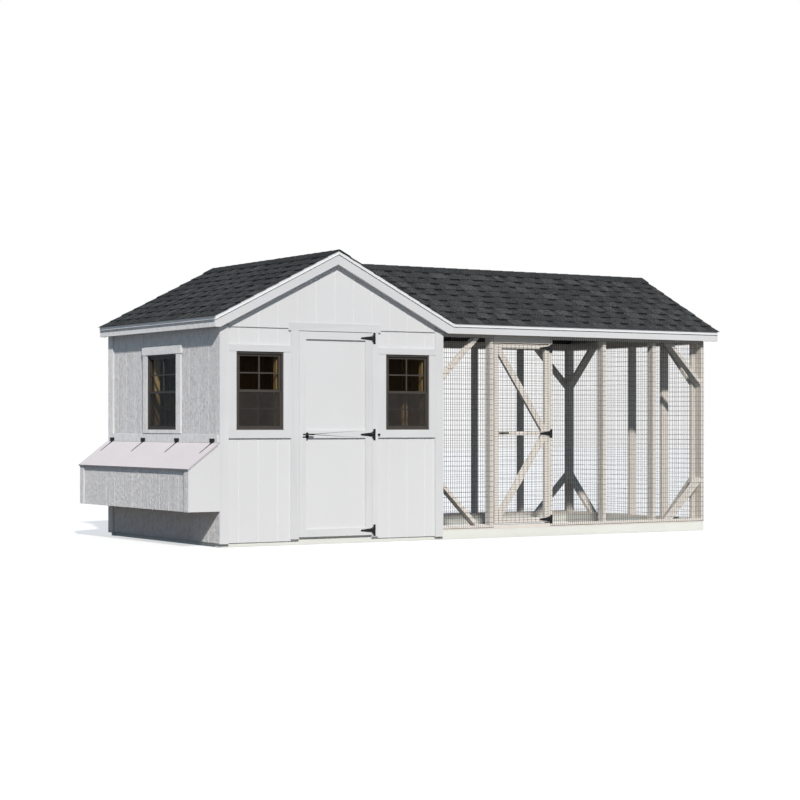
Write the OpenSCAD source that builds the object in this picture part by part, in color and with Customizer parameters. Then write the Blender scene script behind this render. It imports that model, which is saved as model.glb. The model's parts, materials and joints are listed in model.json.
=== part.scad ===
// Walk-in chicken coop: a gabled hen house with a side nest box, and a roofed wire run.
// Building coordinates: x along the front, y from front to back, z up, in millimetres.
// x = 0 and y = 0 are the outer faces of the house siding; z = 0 is the ground.
// place() moves everything so that the origin is below the middle of the whole footprint.

/* [House and run] */
// Width of the house across its gabled front
house_w = 2438; // [2200:1:2700]
// Depth of the house and of the run
house_d = 2438; // [2200:1:2700]
// Length of the house and the run together
total_l = 5791; // [5300:1:6400]
// Height of the underside of the roof framing's plates above the ground
plate_z = 1987; // [1960:1:2020]

/* [Lumber] */
// Narrow side of framing lumber
stud_t = 38; // [36:1:40]
// Wide side of framing lumber, and the side of a skid
stud_w = 89; // [86:1:92]
// Thickness of siding and deck boards
siding_t = 12; // [10:1:14]
// Thickness of trim boards
trim_t = 19; // [16:1:22]
// Width of one siding board, from groove to groove
board_pitch = 203; // [180:1:230]
// Depth of the V cut along each edge of a siding board
board_bevel = 5; // [2:1:6]
// Width of a corner board
corner_w = 91; // [80:1:95]

/* [Roof] */
// Height of the shingles' top face at the eave
eave_z = 2117; // [2112:1:2122]
// Reach of the shingles past the walls
shingle_reach = 90; // [80:1:100]
// Reach of the run's end gable shingles past the wall
end_reach = 122; // [110:1:130]
// Reach of the trim boards past the walls
trim_reach = 76; // [70:1:79]
// Vertical height of a rake board, from the shingles' top
rake_drop = 138; // [130:1:145]

/* [Openings] */
// Width of a front window unit
window_w = 492; // [440:1:500]
// Width of the side window unit
side_window_w = 645; // [560:1:660]
// Height of a window unit
window_h = 723; // [680:1:724]
// Height of the bottom of the windows
window_z = 1076; // [1070:1:1080]
// Left edge of the left front window
window_x_a = 171; // [168:1:175]
// Left edge of the right front window
window_x_b = 1782; // [1778:1:1786]
// Left edge of the people door's opening
door_x = 827; // [824:1:830]
// Width of the people door's opening
door_w = 800; // [796:1:804]
// Bottom of the people door
door_z = 72; // [66:1:80]
// Top of the people door's opening
door_top = 2003; // [1999:1:2006]

/* [Nest box] */
// How far the nest box stands out of the side wall
nest_out = 319; // [280:1:340]
// Height of the nest box's underside
nest_z = 331; // [300:1:340]
// Height of the lid's top face at its hinge edge
lid_top_z = 957; // [950:1:960]
// Height of the lid's top face at its outer edge
lid_low_z = 723; // [715:1:730]
// Number of nest cells
nest_cells = 6; // [5:1:6]

/* [Run] */
// Side of the wire mesh's short pitch
mesh_short = 25.4; // [24:0.1:27]
// Side of the wire mesh's long pitch
mesh_long = 50.8; // [48:0.1:54]
// Diameter of a mesh wire
wire_d = 2.4; // [2:0.1:2.4]
// Left face of the run door's opening
run_door_x = 3053; // [3048:1:3058]
// Width of the run door's opening
run_door_w = 692; // [688:1:696]
// Bottom of the run door
run_door_z = 140; // [135:1:145]
// Top of the run door
run_door_top = 1930; // [1925:1:1935]

/* [Hidden] */

// Gap left between neighbouring pieces that aren't one solid
gap = 0.2;
// Rise of the roof for each millimetre across
pitch = 0.5;
// Vertical depths below the shingles' top: shingles, deck and rafters
shingle_v = 9;
deck_top_v = shingle_v + gap;
deck_low_v = deck_top_v + 13;
rafter_top_v = deck_low_v + gap;
rafter_low_v = rafter_top_v + 99;
plate_top = plate_z + 2 * stud_t;
deck_z = 2 * stud_w;
floor_top = deck_z + 16;
ridge_z = eave_z + pitch * (house_w / 2 + shingle_reach);
mid_x = house_w / 2;
mid_y = house_d / 2;
corner_post_x = total_l - siding_t - stud_t;
far_x = total_l - siding_t;
far_y = house_d - siding_t;
siding_low_z = 39;
gable_low_z = 2024;
header_h = 77;
// The nest lid's edges and slope
lid_inner = 21;
lid_outer = nest_out + 14;
lid_t = 16;
lid_side = trim_t + 8;
lid_slope = atan((lid_top_z - lid_low_z) / (lid_outer - lid_inner));
centre_x = (total_l + end_reach - lid_outer) / 2;
// Door hinge knuckles and pins, with the running clearance of the pins
hinge_r = 6.5;
pin_r = 3;
pin_clear = 0.05;

// ---------------------------------------------------------------- helpers

// Moves building coordinates to the part's own frame
module place() {
  translate([-centre_x, -mid_y, 0]) children();
}

// A box between two opposite corners
module box(a, b) {
  translate(a) cube(b - a);
}

// Extrudes a profile drawn in (x, z) from y0 to y1
module along_y(y0, y1) {
  translate([0, y1, 0]) rotate([90, 0, 0]) linear_extrude(height = y1 - y0) children();
}

// Extrudes a profile drawn in (y, z) from x0 to x1
module along_x(x0, x1) {
  translate([x0, 0, 0]) rotate([90, 0, 90]) linear_extrude(height = x1 - x0) children();
}

// Height of the shingles' top at a distance u in from the wall face
function rise(u) = eave_z + pitch * (u + shingle_reach);

// Profile of a sloping layer between two depths below the shingles' top
module layer(u0, u1, top_v, low_v) {
  polygon([[u0, rise(u0) - top_v], [u1, rise(u1) - top_v],
           [u1, rise(u1) - low_v], [u0, rise(u0) - low_v]]);
}

module mirror_x() {
  translate([house_w, 0, 0]) mirror([1, 0, 0]) children();
}

module mirror_y() {
  translate([0, house_d, 0]) mirror([0, 1, 0]) children();
}

module both_x() {
  children();
  mirror_x() children();
}

module both_y() {
  children();
  mirror_y() children();
}

// Upright siding boards with V grooves, in x from a to b; the outer face is at y = 0
module boards_front(a, b, z0, z1, width = house_w) {
  for (k = [0 : ceil(width / board_pitch) - 1]) {
    lo = max(a, k * board_pitch) + gap / 2;
    hi = min(b, (k + 1) * board_pitch, width) - gap / 2;
    bev_lo = (k > 0 && k * board_pitch >= a) ? board_bevel : 0.01;
    bev_hi = ((k + 1) * board_pitch < width && (k + 1) * board_pitch <= b) ? board_bevel : 0.01;
    if (hi - lo > 2 * board_bevel)
      translate([0, 0, z0]) linear_extrude(height = z1 - z0)
        polygon([[lo + bev_lo, 0], [hi - bev_hi, 0], [hi, bev_hi],
                 [hi, siding_t], [lo, siding_t], [lo, bev_lo]]);
  }
}

// The same boards on a wall whose outer face is at x = 0, in y from a to b
module boards_left(a, b, z0, z1, width = house_d) {
  translate([0, width, 0]) rotate([0, 0, -90])
    boards_front(width - b, width - a, z0, z1, width);
}

// A wall stud standing at (x, y) between two heights
module stud(x, y, z0, z1, dx = stud_t, dy = stud_w) {
  translate([x, y, z0]) cube([dx, dy, z1 - z0]);
}

// A 45 degree brace on edge across the corner at (0, 0) of a wall bay, in (u, z)
module brace_profile(reach) {
  cut = stud_t * sqrt(2);
  polygon([[0, reach - cut], [0, reach], [reach, 0], [reach - cut, 0]]);
}

// ---------------------------------------------------------------- base

module skids() {
  color("gainsboro") place() {
    for (y = [siding_t, far_y - stud_w])
      box([siding_t, y, 0], [far_x, y + stud_w, stud_w]);
    // a middle skid under the house only, between cross pieces
    cross = [2 * siding_t, house_w - stud_w, far_x - stud_w];
    for (x = cross)
      box([x, siding_t + stud_w + gap, 0], [x + stud_w, far_y - stud_w - gap, stud_w]);
    box([cross[0] + stud_w + gap, mid_y - stud_w / 2, 0], [cross[1] - gap, mid_y + stud_w / 2, stud_w]);
  }
}

module floor_joists() {
  step = (house_w - 2 * siding_t - stud_t) / 6;
  color("burlywood") place() {
    for (i = [0 : 6])
      box([siding_t + i * step, siding_t + stud_t + gap, stud_w],
          [siding_t + i * step + stud_t, far_y - stud_t - gap, deck_z]);
    both_y() box([siding_t, siding_t, stud_w], [house_w - siding_t, siding_t + stud_t, deck_z]);
  }
}

module floor_deck() {
  color("tan") place()
    box([siding_t, siding_t, deck_z], [house_w - siding_t, far_y, floor_top]);
}

// ---------------------------------------------------------------- house frame

frame_in = siding_t + stud_w + gap;
stud_low = floor_top + stud_t;
// Slack between a window unit and its rough opening
rough = 16;
jamb_x0 = door_x + 15;
jamb_x1 = door_x + door_w - 15;
front_studs = [siding_t, window_x_a - rough - stud_t, window_x_a + window_w + rough,
  jamb_x0 - stud_t, jamb_x1, window_x_b - rough - stud_t,
  window_x_b + window_w + rough, house_w - siding_t - stud_t];
side_window_y = 867;
cell_pitch = house_d / nest_cells;
pop_w = 338;
pop_z = 250;
pop_h = 360;

module wall_studs() {
  color("burlywood") place() {
    // front wall, with the openings' trimmers
    for (x = front_studs)
      stud(x, siding_t, stud_low, plate_z);
    for (x = [window_x_a, window_x_b], z = [window_z - rough - stud_t, window_z + window_h + rough])
      box([x - rough + gap, siding_t, z], [x + window_w + rough - gap, siding_t + stud_w, z + stud_t]);
    // back wall
    for (i = [0 : 4])
      stud(siding_t + i * (house_w - 2 * siding_t - stud_t) / 4, far_y - stud_w, stud_low, plate_z);
    // left wall, one stud between each pair of nest cells
    for (i = [1 : nest_cells - 1]) {
      y = i * cell_pitch - stud_t / 2;
      cut = y > side_window_y && y < side_window_y + side_window_w;
      top = cut ? window_z - rough - stud_t - gap : plate_z;
      stud(siding_t, y, stud_low, top, stud_w, stud_t);
    }
    for (y = [frame_in, house_d - frame_in - stud_t])
      stud(siding_t, y, stud_low, plate_z, stud_w, stud_t);
    for (z = [window_z - rough - stud_t, window_z + window_h + rough])
      box([siding_t, 2 * cell_pitch + stud_t / 2 + gap, z],
          [siding_t + stud_w, 4 * cell_pitch - stud_t / 2 - gap, z + stud_t]);
    // partition between house and run, around the pop door
    for (y = [frame_in, frame_in + 457, mid_y - pop_w / 2 - stud_t, mid_y + pop_w / 2,
              house_d - frame_in - 457 - stud_t, house_d - frame_in - stud_t])
      stud(house_w - siding_t - stud_w, y, stud_low, plate_z, stud_w, stud_t);
    box([house_w - siding_t - stud_w, mid_y - pop_w / 2 + gap, pop_z + pop_h + gap],
        [house_w - siding_t, mid_y + pop_w / 2 - gap, pop_z + pop_h + stud_t]);
    // gable studs, under the gable rafters and the ridge board
    both_y() {
      both_x() stud(mid_x / 2, siding_t, plate_top + gap, rise(mid_x / 2) - rafter_low_v - gap);
      stud(mid_x - stud_t / 2, siding_t, plate_top + gap, ridge_z - 180);
    }
  }
}

module wall_plates() {
  inner_y1 = far_y - stud_w - gap;
  color("burlywood") place() {
    // bottom plates, open at the people door
    box([siding_t, siding_t, floor_top], [jamb_x0, siding_t + stud_w, stud_low]);
    box([jamb_x1, siding_t, floor_top], [house_w - siding_t, siding_t + stud_w, stud_low]);
    box([siding_t, far_y - stud_w, floor_top], [house_w - siding_t, far_y, stud_low]);
    for (x = [siding_t, house_w - siding_t - stud_w])
      box([x, frame_in, floor_top], [x + stud_w, inner_y1, stud_low]);
    // doubled top plates
    for (z = [plate_z, plate_z + stud_t]) {
      both_y() box([siding_t, siding_t, z],
                   [house_w - siding_t, siding_t + stud_w, z + stud_t - gap]);
      for (x = [siding_t, house_w - siding_t - stud_w])
        box([x, frame_in, z], [x + stud_w, inner_y1, z + stud_t - gap]);
    }
  }
}

// ---------------------------------------------------------------- siding

module front_siding() {
  color("white") place() {
    boards_front(0, window_x_a, siding_low_z, plate_top);
    boards_front(window_x_a + window_w, door_x, siding_low_z, plate_top);
    boards_front(door_x, door_x + door_w, door_top + gap, plate_top);
    boards_front(door_x + door_w, window_x_b, siding_low_z, plate_top);
    boards_front(window_x_b + window_w, house_w, siding_low_z, plate_top);
    for (x = [window_x_a, window_x_b]) {
      boards_front(x, x + window_w, siding_low_z, window_z - gap);
      boards_front(x, x + window_w, window_z + window_h + gap, plate_top);
    }
  }
}

nest_open_z = 400;
nest_open_top = 800;
side_top_z = 2036;

module left_siding() {
  y0 = side_window_y;
  y1 = side_window_y + side_window_w;
  first = siding_t + gap;
  last = far_y - gap;
  color("white") place() {
    // below, beside and above the openings to the nest cells
    boards_left(first, last, siding_low_z, nest_open_z);
    for (i = [0 : nest_cells])
      box([0, max(first, i * cell_pitch - 45), nest_open_z + gap],
          [siding_t, min(last, i * cell_pitch + 45), nest_open_top - gap]);
    boards_left(first, last, nest_open_top, window_z - gap);
    // beside and above the window
    boards_left(first, y0, window_z, side_top_z);
    boards_left(y1, last, window_z, side_top_z);
    boards_left(y0, y1, window_z + window_h + gap, side_top_z);
  }
}

module back_siding() {
  color("white") place()
    mirror_y() boards_front(0, house_w, siding_low_z, plate_top);
}

module partition_siding() {
  first = siding_t + gap;
  last = far_y - gap;
  low = stud_w + stud_t + gap;
  top = rise(0) - rafter_top_v - gap;
  color("white") place() mirror_x() {
    boards_left(first, mid_y - pop_w / 2, low, top);
    boards_left(mid_y + pop_w / 2, last, low, top);
    boards_left(mid_y - pop_w / 2, mid_y + pop_w / 2, low, pop_z);
    boards_left(mid_y - pop_w / 2, mid_y + pop_w / 2, pop_z + pop_h, top);
  }
}

// Profile of a gable wall from a low edge up to the underside of the rafters
module gable_profile(low_z, u0, width) {
  polygon([[u0, low_z], [u0, rise(u0) - rafter_low_v - gap],
           [width / 2, rise(width / 2) - rafter_low_v - gap],
           [width - u0, rise(u0) - rafter_low_v - gap], [width - u0, low_z]]);
}

module gable_backing() {
  color("tan") place()
    both_y() along_y(0, siding_t) gable_profile(plate_top + gap, 50, house_w);
}

header_x0 = 720;
header_x1 = 1722;
header_top = door_top + header_h;

module gable_siding() {
  color("white") place() {
    // house gables, lapped over the wall siding and cut round the door header
    intersection() {
      along_y(-siding_t, 0) gable_profile(gable_low_z, corner_w + gap, house_w);
      translate([0, -siding_t, 0]) {
        boards_front(0, header_x0, gable_low_z, ridge_z);
        boards_front(header_x0, header_x1, header_top + gap, ridge_z);
        boards_front(header_x1, house_w, gable_low_z, ridge_z);
      }
    }
    mirror_y() intersection() {
      along_y(-siding_t, 0) gable_profile(gable_low_z, corner_w + gap, house_w);
      translate([0, -siding_t, 0]) boards_front(0, house_w, gable_low_z, ridge_z);
    }
    // the run's end gable
    intersection() {
      along_x(far_x, total_l) gable_profile(plate_z + stud_t, siding_t, house_d);
      translate([total_l, 0, 0]) mirror([1, 0, 0]) boards_left(0, house_d, plate_z + stud_t, ridge_z);
    }
  }
}

// ---------------------------------------------------------------- outside trim

corner_top = rise(0) - rafter_low_v - 12;

module corner_boards() {
  color("white") place() {
    both_y() both_x() box([0, -trim_t, 33], [corner_w, 0, corner_top]);
    // on the side wall, below and above the nest box
    for (z = [[33, nest_z - 1], [lid_top_z + header_h, rise(-trim_t) - rafter_low_v - gap]])
      box([-trim_t, house_d - 108, z[0]], [0, house_d, z[1]]);
  }
}

module door_casing() {
  color("white") place() {
    box([door_x - 84, -trim_t, 55], [door_x, 0, door_top - gap]);
    box([door_x + door_w, -trim_t, 55], [door_x + door_w + 66, 0, door_top - gap]);
    box([header_x0, -trim_t, door_top], [header_x1, 0, header_top]);
  }
}

// Casing round a front window: two sides, a sill board and a thicker header
module front_casing(x0, left, right) {
  x1 = x0 + window_w;
  top = window_z + window_h;
  box([left, -trim_t, window_z], [x0 - 1, 0, top]);
  box([x1 + 1, -trim_t, window_z], [right, 0, top]);
  box([left, -trim_t, window_z - 76], [right, 0, window_z - gap]);
  box([left, -trim_t - 3, top + gap], [right, 0, top + 62]);
}

module window_casings() {
  side = 95;
  y0 = side_window_y;
  y1 = side_window_y + side_window_w;
  top = window_z + window_h;
  color("white") place() {
    front_casing(window_x_a, corner_w + gap, door_x - 84 - gap);
    front_casing(window_x_b, door_x + door_w + 66 + gap, house_w - corner_w - gap);
    for (y = [[y0 - side, y0 - 1], [y1 + 1, y1 + side]])
      box([-trim_t, y[0], window_z], [0, y[1], top]);
    box([-trim_t, y0 - side, window_z - 36], [0, y1 + side, window_z - gap]);
    box([-trim_t - 3, y0 - side - 15, top + gap], [0, y1 + side + 15, top + 78]);
  }
}

module nest_band_board() {
  color("white") place()
    box([-trim_t, 0, lid_top_z], [0, house_d, lid_top_z + header_h - 1]);
}

// ---------------------------------------------------------------- roof frame

ridge_half = 9.5;
tail_u = -57;
seat_u = 60;
house_rafter_y = [siding_t, 585, 1200, 1815, far_y - stud_t];
run_rafter_x0 = house_w + 2;
run_rafter_step = (far_x - stud_t - run_rafter_x0) / 6;

// One rafter's profile, notched over the wall plate
module rafter_profile(u0, half_span) {
  difference() {
    layer(u0, half_span - ridge_half - gap, rafter_top_v, rafter_low_v);
    translate([siding_t - gap, plate_top - stud_w]) square([seat_u, stud_w + gap]);
  }
}

module house_rafters() {
  color("burlywood") place()
    for (y = house_rafter_y) {
      along_y(y, y + stud_t) rafter_profile(tail_u + gap, mid_x);
      mirror_x() along_y(y, y + stud_t) rafter_profile(siding_t + gap, mid_x);
    }
}

// The space above the house's right-hand deck, where the run's roof lies over it
module above_house_deck() {
  low = deck_top_v - gap;
  along_y(-shingle_reach, house_d + shingle_reach)
    polygon([[mid_x, ridge_z - low], [house_w + shingle_reach, eave_z - low],
             [house_w + shingle_reach, ridge_z], [mid_x, ridge_z]]);
}

module run_rafters() {
  jack_x = 1810;
  color("burlywood") place() {
    for (i = [0 : 6])
      both_y() along_x(run_rafter_x0 + i * run_rafter_step, run_rafter_x0 + i * run_rafter_step + stud_t)
        rafter_profile(tail_u + gap, mid_y);
    // a short pair lying on the house deck
    intersection() {
      both_y() along_x(jack_x, jack_x + stud_t)
        layer(siding_t, mid_y - ridge_half - gap, rafter_top_v, rafter_low_v);
      above_house_deck();
    }
  }
}

module ridge_boards() {
  top = ridge_z - rafter_top_v - 6;
  low = top - 140;
  color("burlywood") place() {
    box([mid_x - ridge_half, siding_t, low], [mid_x + ridge_half, far_y, top]);
    intersection() {
      box([mid_x + ridge_half + 40, mid_y - ridge_half, low], [far_x, mid_y + ridge_half, top]);
      union() {
        above_house_deck();
        box([house_w + gap, 0, low], [far_x, house_d, ridge_z]);
      }
    }
  }
}

// Blocks that close the eaves between rafters, and lookouts that carry the rakes
module roof_blocking() {
  top = rise(siding_t) - rafter_top_v - gap;
  color("burlywood") place() {
    for (i = [0 : 3])
      both_x() box([siding_t + gap, house_rafter_y[i] + stud_t + gap, plate_top + gap],
                   [siding_t + stud_t, house_rafter_y[i + 1] - gap, top]);
    for (i = [0 : 5])
      both_y() box([run_rafter_x0 + i * run_rafter_step + stud_t + gap, siding_t + gap, plate_top + gap],
                   [run_rafter_x0 + (i + 1) * run_rafter_step - gap, siding_t + stud_t, top]);
    for (u = [60, 560, 1080]) {
      both_y() both_x() along_y(tail_u + gap, siding_t - gap)
        layer(u, u + 80, rafter_top_v + gap, rafter_top_v + 40);
      both_y() along_x(far_x + gap, total_l + end_reach - 34)
        layer(u, u + 80, rafter_top_v + gap, rafter_top_v + 40);
    }
  }
}

// Tall enough to span the roof's layers
roof_band = 1000;
valley_gap = 1;

// Plan of the run's roof left of which the house's roof takes over, moved along x
module run_roof_plan(shift, reach, end_x) {
  translate([0, 0, plate_z]) linear_extrude(height = roof_band)
    polygon([[mid_x + shift, mid_y], [house_w + reach + shift, -reach], [end_x, -reach],
             [end_x, house_d + reach], [house_w + reach + shift, house_d + reach]]);
}

// Plan of the two triangles of house roof on the run's side
module house_roof_plan(reach) {
  translate([0, 0, plate_z]) linear_extrude(height = roof_band)
    both_y() polygon([[mid_x, -reach], [mid_x, mid_y], [house_w + reach, -reach]]);
}

deck_reach = trim_reach;
rake_x = total_l + end_reach - 14;

module roof_deck() {
  color("tan") place() {
    along_y(-deck_reach, house_d + deck_reach)
      layer(-deck_reach, mid_x - gap, deck_top_v, deck_low_v);
    // right slope of the house: whole over the house, cut to the valleys beyond it
    mirror_x() along_y(siding_t, far_y) layer(gap, mid_x - gap, deck_top_v, deck_low_v);
    intersection() {
      mirror_x() both_y() along_y(-deck_reach, siding_t - gap)
        layer(-deck_reach, mid_x - gap, deck_top_v, deck_low_v);
      house_roof_plan(deck_reach);
    }
    // run
    intersection() {
      both_y() along_x(mid_x, rake_x) layer(-deck_reach, mid_y - gap, deck_top_v, deck_low_v);
      run_roof_plan(30, deck_reach, rake_x);
    }
  }
}

module house_shingles() {
  color("dimgray") place() {
    along_y(-shingle_reach, house_d + shingle_reach)
      layer(-shingle_reach, mid_x - gap, 0, shingle_v);
    intersection() {
      mirror_x() along_y(-shingle_reach, house_d + shingle_reach)
        layer(-shingle_reach, mid_x - gap, 0, shingle_v);
      house_roof_plan(shingle_reach);
    }
  }
}

module run_shingles() {
  color("dimgray") place()
    intersection() {
      both_y() along_x(mid_x, total_l + end_reach) layer(-shingle_reach, mid_y - gap, 0, shingle_v);
      run_roof_plan(valley_gap, shingle_reach, total_l + end_reach);
    }
}

cap_half = 150;
cap_v = 6;

// The left half of the cap course along the house's ridge
module house_cap() {
  along_y(-shingle_reach, house_d + shingle_reach) layer(mid_x - cap_half, mid_x - gap, -cap_v, -gap);
}

module ridge_caps() {
  color("dimgray") place() {
    house_cap();
    intersection() {
      mirror_x() house_cap();
      house_roof_plan(shingle_reach);
    }
    intersection() {
      both_y() along_x(mid_x, total_l + end_reach) layer(mid_y - cap_half, mid_y - gap, -cap_v, -gap);
      run_roof_plan(valley_gap, shingle_reach, total_l + end_reach);
    }
  }
}

// Metal edge strips that cover the top of the rake and fascia boards
module drip_edge() {
  leg = 2.2;
  face = trim_reach + gap;
  rake_v = [12, 40];
  eave_low = rise(-trim_reach) - 38;
  eave_top = rise(-trim_reach) - 11;
  color("white") place() {
    both_y() both_x() along_y(-face - leg, -face) layer(-trim_reach, mid_x - gap, rake_v[0], rake_v[1]);
    both_y() along_x(rake_x + gap, rake_x + gap + leg)
      layer(-trim_reach, mid_y - gap, rake_v[0], rake_v[1]);
    box([-face - leg, -trim_reach, eave_low], [-face, house_d + trim_reach, eave_top]);
    both_y() box([house_w + trim_reach + gap, -face - leg, eave_low], [rake_x, -face, eave_top]);
  }
}

fascia_low_z = 2014;
fascia_top_z = rise(-trim_reach) - rafter_top_v - gap;

module rake_boards() {
  color("white") place() {
    intersection() {
      both_y() both_x() along_y(-trim_reach, -trim_reach + trim_t)
        layer(-trim_reach, mid_x - gap, rafter_top_v + gap, rake_drop);
      box([-deck_reach, -deck_reach, fascia_low_z],
          [house_w + deck_reach, house_d + deck_reach, ridge_z]);
    }
    intersection() {
      both_y() along_x(rake_x - trim_t, rake_x)
        layer(-trim_reach, mid_y - gap, rafter_top_v + gap, rake_drop);
      box([total_l, -deck_reach, fascia_low_z], [rake_x, house_d + deck_reach, ridge_z]);
    }
  }
}

module fascia_boards() {
  color("white") place() {
    box([-trim_reach, -trim_reach + trim_t + gap, fascia_low_z],
        [-trim_reach + trim_t, house_d + trim_reach - trim_t - gap, fascia_top_z]);
    both_y() box([house_w + trim_reach + gap, -trim_reach, fascia_low_z],
                 [rake_x - trim_t - gap, -trim_reach + trim_t, fascia_top_z]);
  }
}

// Boards that close the underside of the rakes
module rake_soffits() {
  top_v = rafter_low_v + gap;
  low_v = top_v + 9;
  // where a soffit's underside is level with the fascia's bottom
  start = tail_u + 23;
  color("white") place() {
    both_y() {
      along_y(tail_u + gap, -siding_t - gap) layer(start, mid_x - gap, top_v, low_v);
      mirror_x() along_y(tail_u + gap, -siding_t - gap) layer(gap, mid_x - gap, top_v, low_v);
      along_x(total_l + gap, rake_x - trim_t - gap) layer(start, mid_y - gap, top_v, low_v);
    }
  }
}

// ---------------------------------------------------------------- run frame

run_low = stud_w + stud_t;
front_posts = [run_door_x - stud_t, run_door_x + run_door_w, 4430, 5087];
back_posts = [3146, 3783, 4420, 5057];
end_posts = [590, 1144, 1698];
// Where the bays of the end wall start, behind the two studs of a corner
end_bay = siding_t + stud_w + stud_t + 2 * gap;
stop_y = siding_t + stud_t + 1;

module run_posts() {
  color("ivory") place() {
    for (x = front_posts)
      stud(x, siding_t, run_low, plate_z);
    for (x = back_posts)
      stud(x, far_y - stud_w, run_low, plate_z);
    // each far corner is a stud of the long wall and one of the end wall
    both_y() {
      stud(corner_post_x, siding_t, run_low, plate_z);
      stud(far_x - stud_w, end_bay - gap - stud_t, run_low, plate_z, stud_w, stud_t);
    }
    for (y = end_posts)
      stud(far_x - stud_w, y, run_low, plate_z, stud_w, stud_t);
    // stops that the run door shuts against
    for (x = [run_door_x + gap, run_door_x + run_door_w - stud_t / 3 - gap])
      box([x, stop_y, run_low], [x + stud_t / 3, stop_y + 25, plate_z - 45]);
  }
}

module run_plates() {
  x0 = house_w + gap;
  end_y0 = siding_t + stud_w + gap;
  levels = [[stud_w, run_low], [plate_z, plate_z + stud_t - gap], [plate_z + stud_t, plate_top - gap]];
  color("ivory") place() {
    for (z = levels) {
      both_y() box([x0, siding_t, z[0]], [far_x, siding_t + stud_w, z[1] - gap]);
      box([far_x - stud_w, end_y0, z[0]], [far_x, house_d - end_y0, z[1] - gap]);
    }
    // header over the run door
    box([run_door_x + gap, siding_t, plate_z - 44],
        [run_door_x + run_door_w - gap, siding_t + stud_w, plate_z - gap]);
  }
}

// Braces low and high in a front bay whose corner is at x, leaning towards +x or -x
module wall_brace(x, side, reach) {
  for (low = [true, false])
    translate([x, 0, low ? run_low : plate_z - gap])
      scale([side, 1, low ? 1 : -1])
        along_y(siding_t, siding_t + stud_w) brace_profile(reach);
}

// Braces low and high at the front end of the end wall
module end_brace(reach) {
  for (low = [true, false])
    translate([0, end_bay, low ? run_low : plate_z - gap])
      scale([1, 1, low ? 1 : -1])
        along_x(far_x - stud_w, far_x) brace_profile(reach);
}

module run_braces() {
  color("ivory") place()
    both_y() {
      wall_brace(house_w + gap, 1, 452);
      wall_brace(corner_post_x - gap, -1, 440);
      end_brace(436);
    }
}

// ---------------------------------------------------------------- wire mesh

wire_r = wire_d / 2;
outer_wire = wire_d * 1.5 + 2 * gap;
inner_wire = wire_r + gap;
mesh_low = 103;
mesh_top = plate_z + 24;

// A welded mesh in (u, z): uprights at one pitch against the frame, level wires outside them
module mesh_panel(u0, u1, z0, z1, across, up, level_in = false) {
  up_y = level_in ? outer_wire : inner_wire;
  level_y = level_in ? inner_wire : outer_wire;
  for (u = [u0 + wire_r : across : u1 - wire_r])
    translate([u, siding_t - up_y, z0]) cylinder(r = wire_r, h = z1 - z0, $fn = 8);
  for (z = [z0 + wire_r : up : z1 - wire_r])
    translate([u0, siding_t - level_y, z]) rotate([0, 90, 0])
      cylinder(r = wire_r, h = u1 - u0, $fn = 8);
}

module run_mesh_front() {
  color("#202020") place() {
    mesh_panel(house_w + 2, run_door_x, mesh_low, mesh_top, mesh_short, mesh_long);
    mesh_panel(run_door_x + run_door_w + 10, far_x, mesh_low, mesh_top, mesh_short, mesh_long);
  }
}

module run_mesh_sides() {
  color("#202020") place() {
    mirror_y() mesh_panel(house_w + 2, far_x, mesh_low, mesh_top, mesh_short, mesh_long);
    translate([total_l, 0, 0]) rotate([0, 0, 90])
      mesh_panel(siding_t, far_y, mesh_low, mesh_top, mesh_short, mesh_long);
  }
}

// ---------------------------------------------------------------- windows

frame_face = 20;
frame_y0 = -10;
frame_y1 = 44;
sash_face = 22;
muntin_w = 13;
sash_t = 15;
meeting_z = 362;
sash_slack = 1.5;

// A window frame of four bars, w wide, with its lower left corner at the origin
module frame_bars(w) {
  for (x = [0, w - frame_face])
    box([x, frame_y0, 0], [x + frame_face, frame_y1, window_h]);
  for (z = [0, window_h - frame_face])
    box([frame_face + gap, frame_y0, z], [w - frame_face - gap, frame_y1, z + frame_face]);
}

// A sash with a cross of muntins, between two heights, with its outer face at y
module sash_bars(w, y, z0, z1) {
  x0 = frame_face + sash_slack;
  x1 = w - frame_face - sash_slack;
  mid_z = (z0 + z1) / 2;
  difference() {
    box([x0, y, z0], [x1, y + sash_t, z1]);
    for (x = [[x0 + sash_face, (x0 + x1 - muntin_w) / 2], [(x0 + x1 + muntin_w) / 2, x1 - sash_face]],
         z = [[z0 + sash_face, mid_z - muntin_w / 2], [mid_z + muntin_w / 2, z1 - sash_face]])
      box([x[0], y - gap, z[0]], [x[1], y + sash_t + gap, z[1]]);
  }
}

// The four panes that fill a sash
module sash_panes(w, y, z0, z1) {
  x0 = frame_face + sash_slack;
  x1 = w - frame_face - sash_slack;
  mid_z = (z0 + z1) / 2;
  half = muntin_w / 2 + gap;
  edge = sash_face + gap;
  for (x = [[x0 + edge, (x0 + x1) / 2 - half], [(x0 + x1) / 2 + half, x1 - edge]],
       z = [[z0 + edge, mid_z - half], [mid_z + half, z1 - edge]])
    box([x[0], y + sash_t / 2 - 1.5, z[0]], [x[1], y + sash_t / 2 + 1.5, z[1]]);
}

upper_y = 6;
lower_y = upper_y + sash_t + 2;
screen_y = -4;
screen_t = 8;
upper_z = [meeting_z - 12, window_h - frame_face - gap];
lower_z = [frame_face + gap, meeting_z + 12];

module screen_bars(w) {
  x0 = frame_face + gap;
  x1 = w - frame_face - gap;
  side = 14;
  for (x = [x0, x1 - side])
    box([x, screen_y, frame_face + gap], [x + side, screen_y + screen_t, meeting_z]);
  for (z = [frame_face + gap, meeting_z - side])
    box([x0 + side + gap, screen_y, z], [x1 - side - gap, screen_y + screen_t, z + side]);
}

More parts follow.
